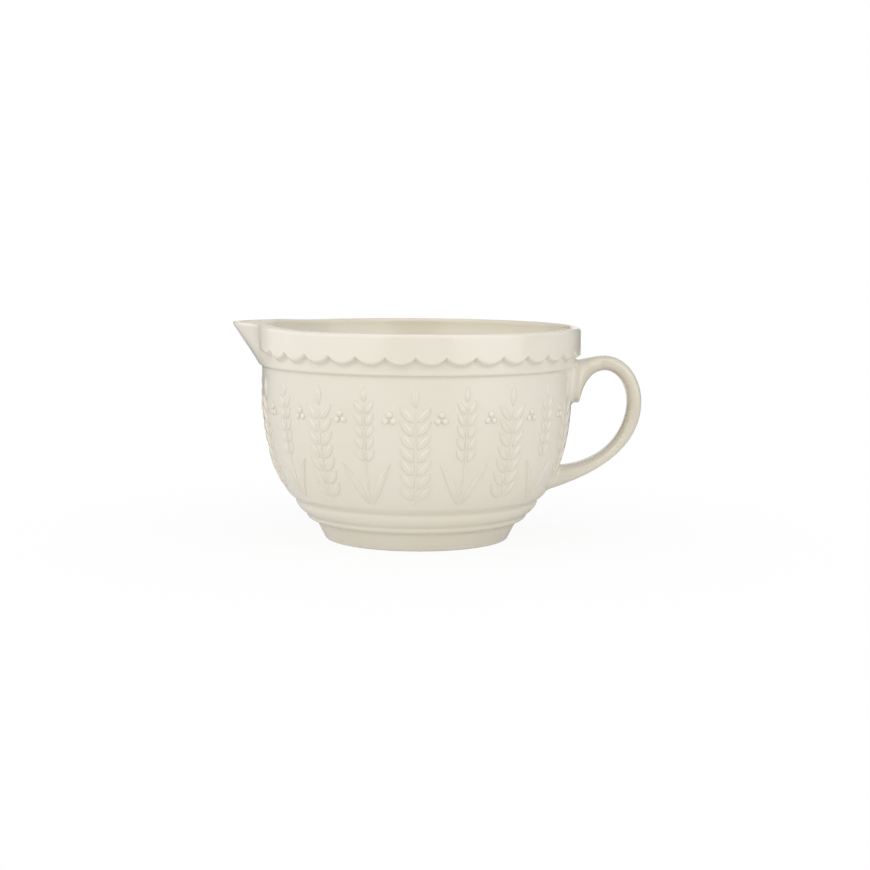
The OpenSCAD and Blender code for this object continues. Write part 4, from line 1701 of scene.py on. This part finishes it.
        # Painted shade towards the wall and painted highlight on the crown, with glaze pooling and thinner
        # glaze
        berry = recipe.store(ball.outputs["Mesh"], Weight.POOL, self.BERRY_SHADE_AND_HIGHLIGHT * (1.0 - lift))
        berry = recipe.store(berry, Weight.THIN, self.BERRY_SHADE_AND_HIGHLIGHT * lift)
        squat = 2 * (self.out + self.BERRY_PROUD)
        berry = recipe.place(berry, recipe.vector(x * squat, y * berry_d, z * berry_d))
        pitch = self.berry_d + self.room
        low = self.low_z + (self.top_z - self.low_z) * self.berry_height
        parts = [self.stand(recipe, berry, side * pitch / 2, low) for side in (-1, 1)]
        parts.append(self.stand(recipe, berry, 0.0, low + pitch * math.sin(self.TRIO_ANGLE)))
        sprig = self.wrapped(recipe, recipe.join(parts))
        half = self.step / 2
        midway = (half + self.step) / 2
        count = round(360 / half) - 2
        result = self.around(recipe, sprig, midway, half, count)
        return own(recipe.run("berry_trios", result, material), Slot.RELIEF, "berry_beads")


@dataclass
class Softbox:
    """A soft studio lamp that faces the bowl.

    Attributes:
        name: Name of the lamp.
        azimuth: Angle round the bowl from the camera's side, positive to the right.
        distance: Distance from the bowl's axis.
        height: Height above the table.
        width: Width of its face.
        tall: Height of its face.
        power: Power in watts.
    """

    name: str
    azimuth: float
    distance: float
    height: float
    width: float
    tall: float
    power: float

    def build(self, target: Vector) -> None:
        """Makes the lamp and turns it to the target.

        Args:
            target: The place that it faces.
        """
        light = bpy.data.lights.new(self.name, "AREA")
        light.shape = "RECTANGLE"
        light.size, light.size_y, light.energy = self.width, self.tall, self.power
        lamp = bpy.data.objects.new(self.name, light)
        turn = math.radians(self.azimuth)
        lamp.location = (self.distance * math.sin(turn), -self.distance * math.cos(turn), self.height)
        lamp.rotation_euler = (target - lamp.location).to_track_quat("-Z", "Y").to_euler()
        lamp.visible_camera = False
        bpy.context.scene.collection.objects.link(lamp)


@dataclass
class Studio:
    """The plain pale floor, the soft light and the camera.

    Attributes:
        camera_at: Place of the camera.
        pitch: How far it looks down.
        roll: How far it is turned about its own axis.
        focal: Focal length in pixels of the picture.
        picture: Side of the square picture in pixels.
        floor_r: Radius of the floor.
    """

    camera_at: tuple[float, float, float] = (0.01126, -1.100, 0.1876)
    pitch: float = 6.41
    roll: float = 0.42
    focal: float = 1764.3
    picture: int = 870
    floor_r: float = 6.0

    SENSOR = 36.0
    LAMP_TARGET = (0.0, 0.0, 0.08)
    # Light of the surround on the ware, and how the surround looks in its gloss
    FRONT_LIGHT = 0.585
    BACK_LIGHT = 0.38
    ROOM_LIGHT = 0.55
    FLAG_LIGHT = 0.2
    FLAG_EDGE = 0.6
    FLAG_FADE = 0.25
    FLAG_TOP = 0.15
    FLAG_TOP_FADE = 0.25
    BACKDROP_EDGE = 0.955
    BACKDROP_FADE = 0.03
    # The floor, and how strongly and how far it keeps the shadow
    FLOOR_SIDES = 96
    FLOOR_COLOUR = srgb(240, 239, 237)
    FLOOR_GRAIN = 60.0
    FLOOR_LAYERS = 2.0
    FLOOR_GRAIN_SHARE = 0.06
    SHADOW_SHARE = 0.09
    SHADOW_REACH = 0.36
    LAMPS = (
        Softbox("softbox_left", azimuth=-50, distance=1.3, height=0.6, width=1.6, tall=1.3, power=6.4),
        Softbox("softbox_side", azimuth=-100, distance=1.2, height=0.4, width=1.0, tall=0.8, power=1.9),
        Softbox("softbox_right", azimuth=50, distance=1.3, height=0.6, width=1.4, tall=1.3, power=6.6),
        Softbox("softbox_top", azimuth=0, distance=0.35, height=1.5, width=1.4, tall=1.4, power=5.2),
    )

    def build(self) -> None:
        """Makes the floor, the lamps, the world and the camera."""
        self.floor()
        for lamp in self.LAMPS:
            lamp.build(Vector(self.LAMP_TARGET))
        self.world()
        self.camera()
        bpy.context.scene.view_settings.view_transform = "Standard"

    def camera(self) -> None:
        """Makes the camera at the photograph's place."""
        data = bpy.data.cameras.new("camera")
        data.sensor_width = self.SENSOR
        data.lens = self.focal / self.picture * self.SENSOR
        camera = bpy.data.objects.new("camera", data)
        tilt = Matrix.Rotation(math.radians(90 - self.pitch), 4, "X")
        turn = Matrix.Rotation(math.radians(self.roll), 4, "Z")
        camera.matrix_world = Matrix.Translation(self.camera_at) @ tilt @ turn
        bpy.context.scene.collection.objects.link(camera)
        bpy.context.scene.camera = camera

    def rays(self, tree: Tree) -> tuple[Term, Term]:
        """Which rays show the background.

        Args:
            tree: The tree under construction.

        Returns:
            1 for a ray from the camera, and 1 for a reflected or transmitted one.
        """
        path = tree.node("ShaderNodeLightPath").outputs
        camera, through, glossy = (Term(tree, path[f"Is {name} Ray"])
                                   for name in ("Camera", "Transmission", "Glossy"))
        return camera, tree.clamp(through + glossy)

    def reflected(self, tree: Tree, towards: Term, up: Term | float) -> Term:
        """Brightness of the surround in a reflection.

        Args:
            tree: The tree under construction.
            towards: How far a direction points away from the camera, from -1 to 1.
            up: How far it points upwards, from -1 to 1.

        Returns:
            1 in the white backdrop, dark in the low flags beside it and dim in the rest of the room.
        """
        flag = tree.smooth((towards - self.FLAG_EDGE) / self.FLAG_FADE)
        flag = flag * (1.0 - tree.smooth((up - self.FLAG_TOP) / self.FLAG_TOP_FADE))
        room = self.ROOM_LIGHT + (self.FLAG_LIGHT - self.ROOM_LIGHT) * flag
        backdrop = tree.smooth((towards - self.BACKDROP_EDGE) / self.BACKDROP_FADE)
        return room + backdrop * (1.0 - room)

    def world(self) -> None:
        """A white background, and a dimmer surround that lights the bowl more from the front.

        In reflections the backdrop is white too, between dark flags that draw the edges of the pale ware.
        """
        world = bpy.context.scene.world or bpy.data.worlds.new("studio")
        bpy.context.scene.world = world
        tree = Tree.afresh(world)
        _, towards, up = tree.split(tree.node("ShaderNodeTexCoord").outputs["Generated"])
        camera, mirror = self.rays(tree)
        fill = self.FRONT_LIGHT + (self.BACK_LIGHT - self.FRONT_LIGHT) * tree.smooth(towards * 0.5 + 0.5)
        strength = fill + mirror * (self.reflected(tree, towards, up) - fill)
        strength = strength + camera * (1.0 - strength)
        shade = tree.node("ShaderNodeBackground", inputs={"Color": WHITE, "Strength": strength})
        tree.node("ShaderNodeOutputWorld", inputs={0: shade.outputs[0]})

    def floor(self) -> None:
        """A wide pale floor that keeps the bowl's shadow and fades to white."""
        mesh = bpy.data.meshes.new("floor")
        turns = np.linspace(0, 2 * math.pi, self.FLOOR_SIDES, endpoint=False)
        rim = [(self.floor_r * math.cos(a), self.floor_r * math.sin(a), 0.0) for a in turns]
        mesh.from_pydata(rim, [], [list(range(len(rim)))])
        material = bpy.data.materials.new("pale_floor")
        tree = Tree.afresh(material)
        place = tree.node("ShaderNodeTexCoord").outputs["Object"]
        x, y, z = tree.split(place)
        distance = tree.math("SQRT", x * x + y * y)
        far = tree.smooth(distance / self.SHADOW_REACH)
        grain = tree.noise(place, self.FLOOR_GRAIN, self.FLOOR_LAYERS)
        colour = tree.blend(grain * self.FLOOR_GRAIN_SHARE, (*self.FLOOR_COLOUR, 1), WHITE)
        matt = tree.node("ShaderNodeBsdfDiffuse", inputs={"Color": colour})
        camera, mirror = self.rays(tree)
        strength = camera + mirror * self.reflected(tree, y / distance, z)
        white = tree.node("ShaderNodeEmission", inputs={"Color": WHITE, "Strength": strength})
        share = camera * (1.0 - self.SHADOW_SHARE * (1.0 - far)) + mirror * far
        mixed = tree.node("ShaderNodeMixShader", inputs={0: share, 1: matt.outputs[0], 2: white.outputs[0]})
        tree.node("ShaderNodeOutputMaterial", inputs={0: mixed.outputs[0]})
        linked("floor", mesh, material)


def main() -> None:
    """Builds the studio and the bowl, piece by piece."""
    logging.basicConfig(level=logging.INFO, format="%(name)s %(message)s")
    Studio().build()
    form = BowlForm.from_frame()
    cream = Glaze("cream_glaze").material()
    relief = Glaze("relief_glaze").material()
    foot = Glaze("foot_glaze", biscuit_z=BARE_FOOT_Z).material()
    BowlBody(form).build(cream)
    FootRing(form).build(foot)
    RimBand.from_frame(form).build(cream)
    Handle.from_frame(form).build(cream)
    belt = SprigBelt.from_frame(form)
    belt.branches(relief)
    belt.ears(relief)
    belt.berries(relief)


if __name__ == "__main__":
    main()
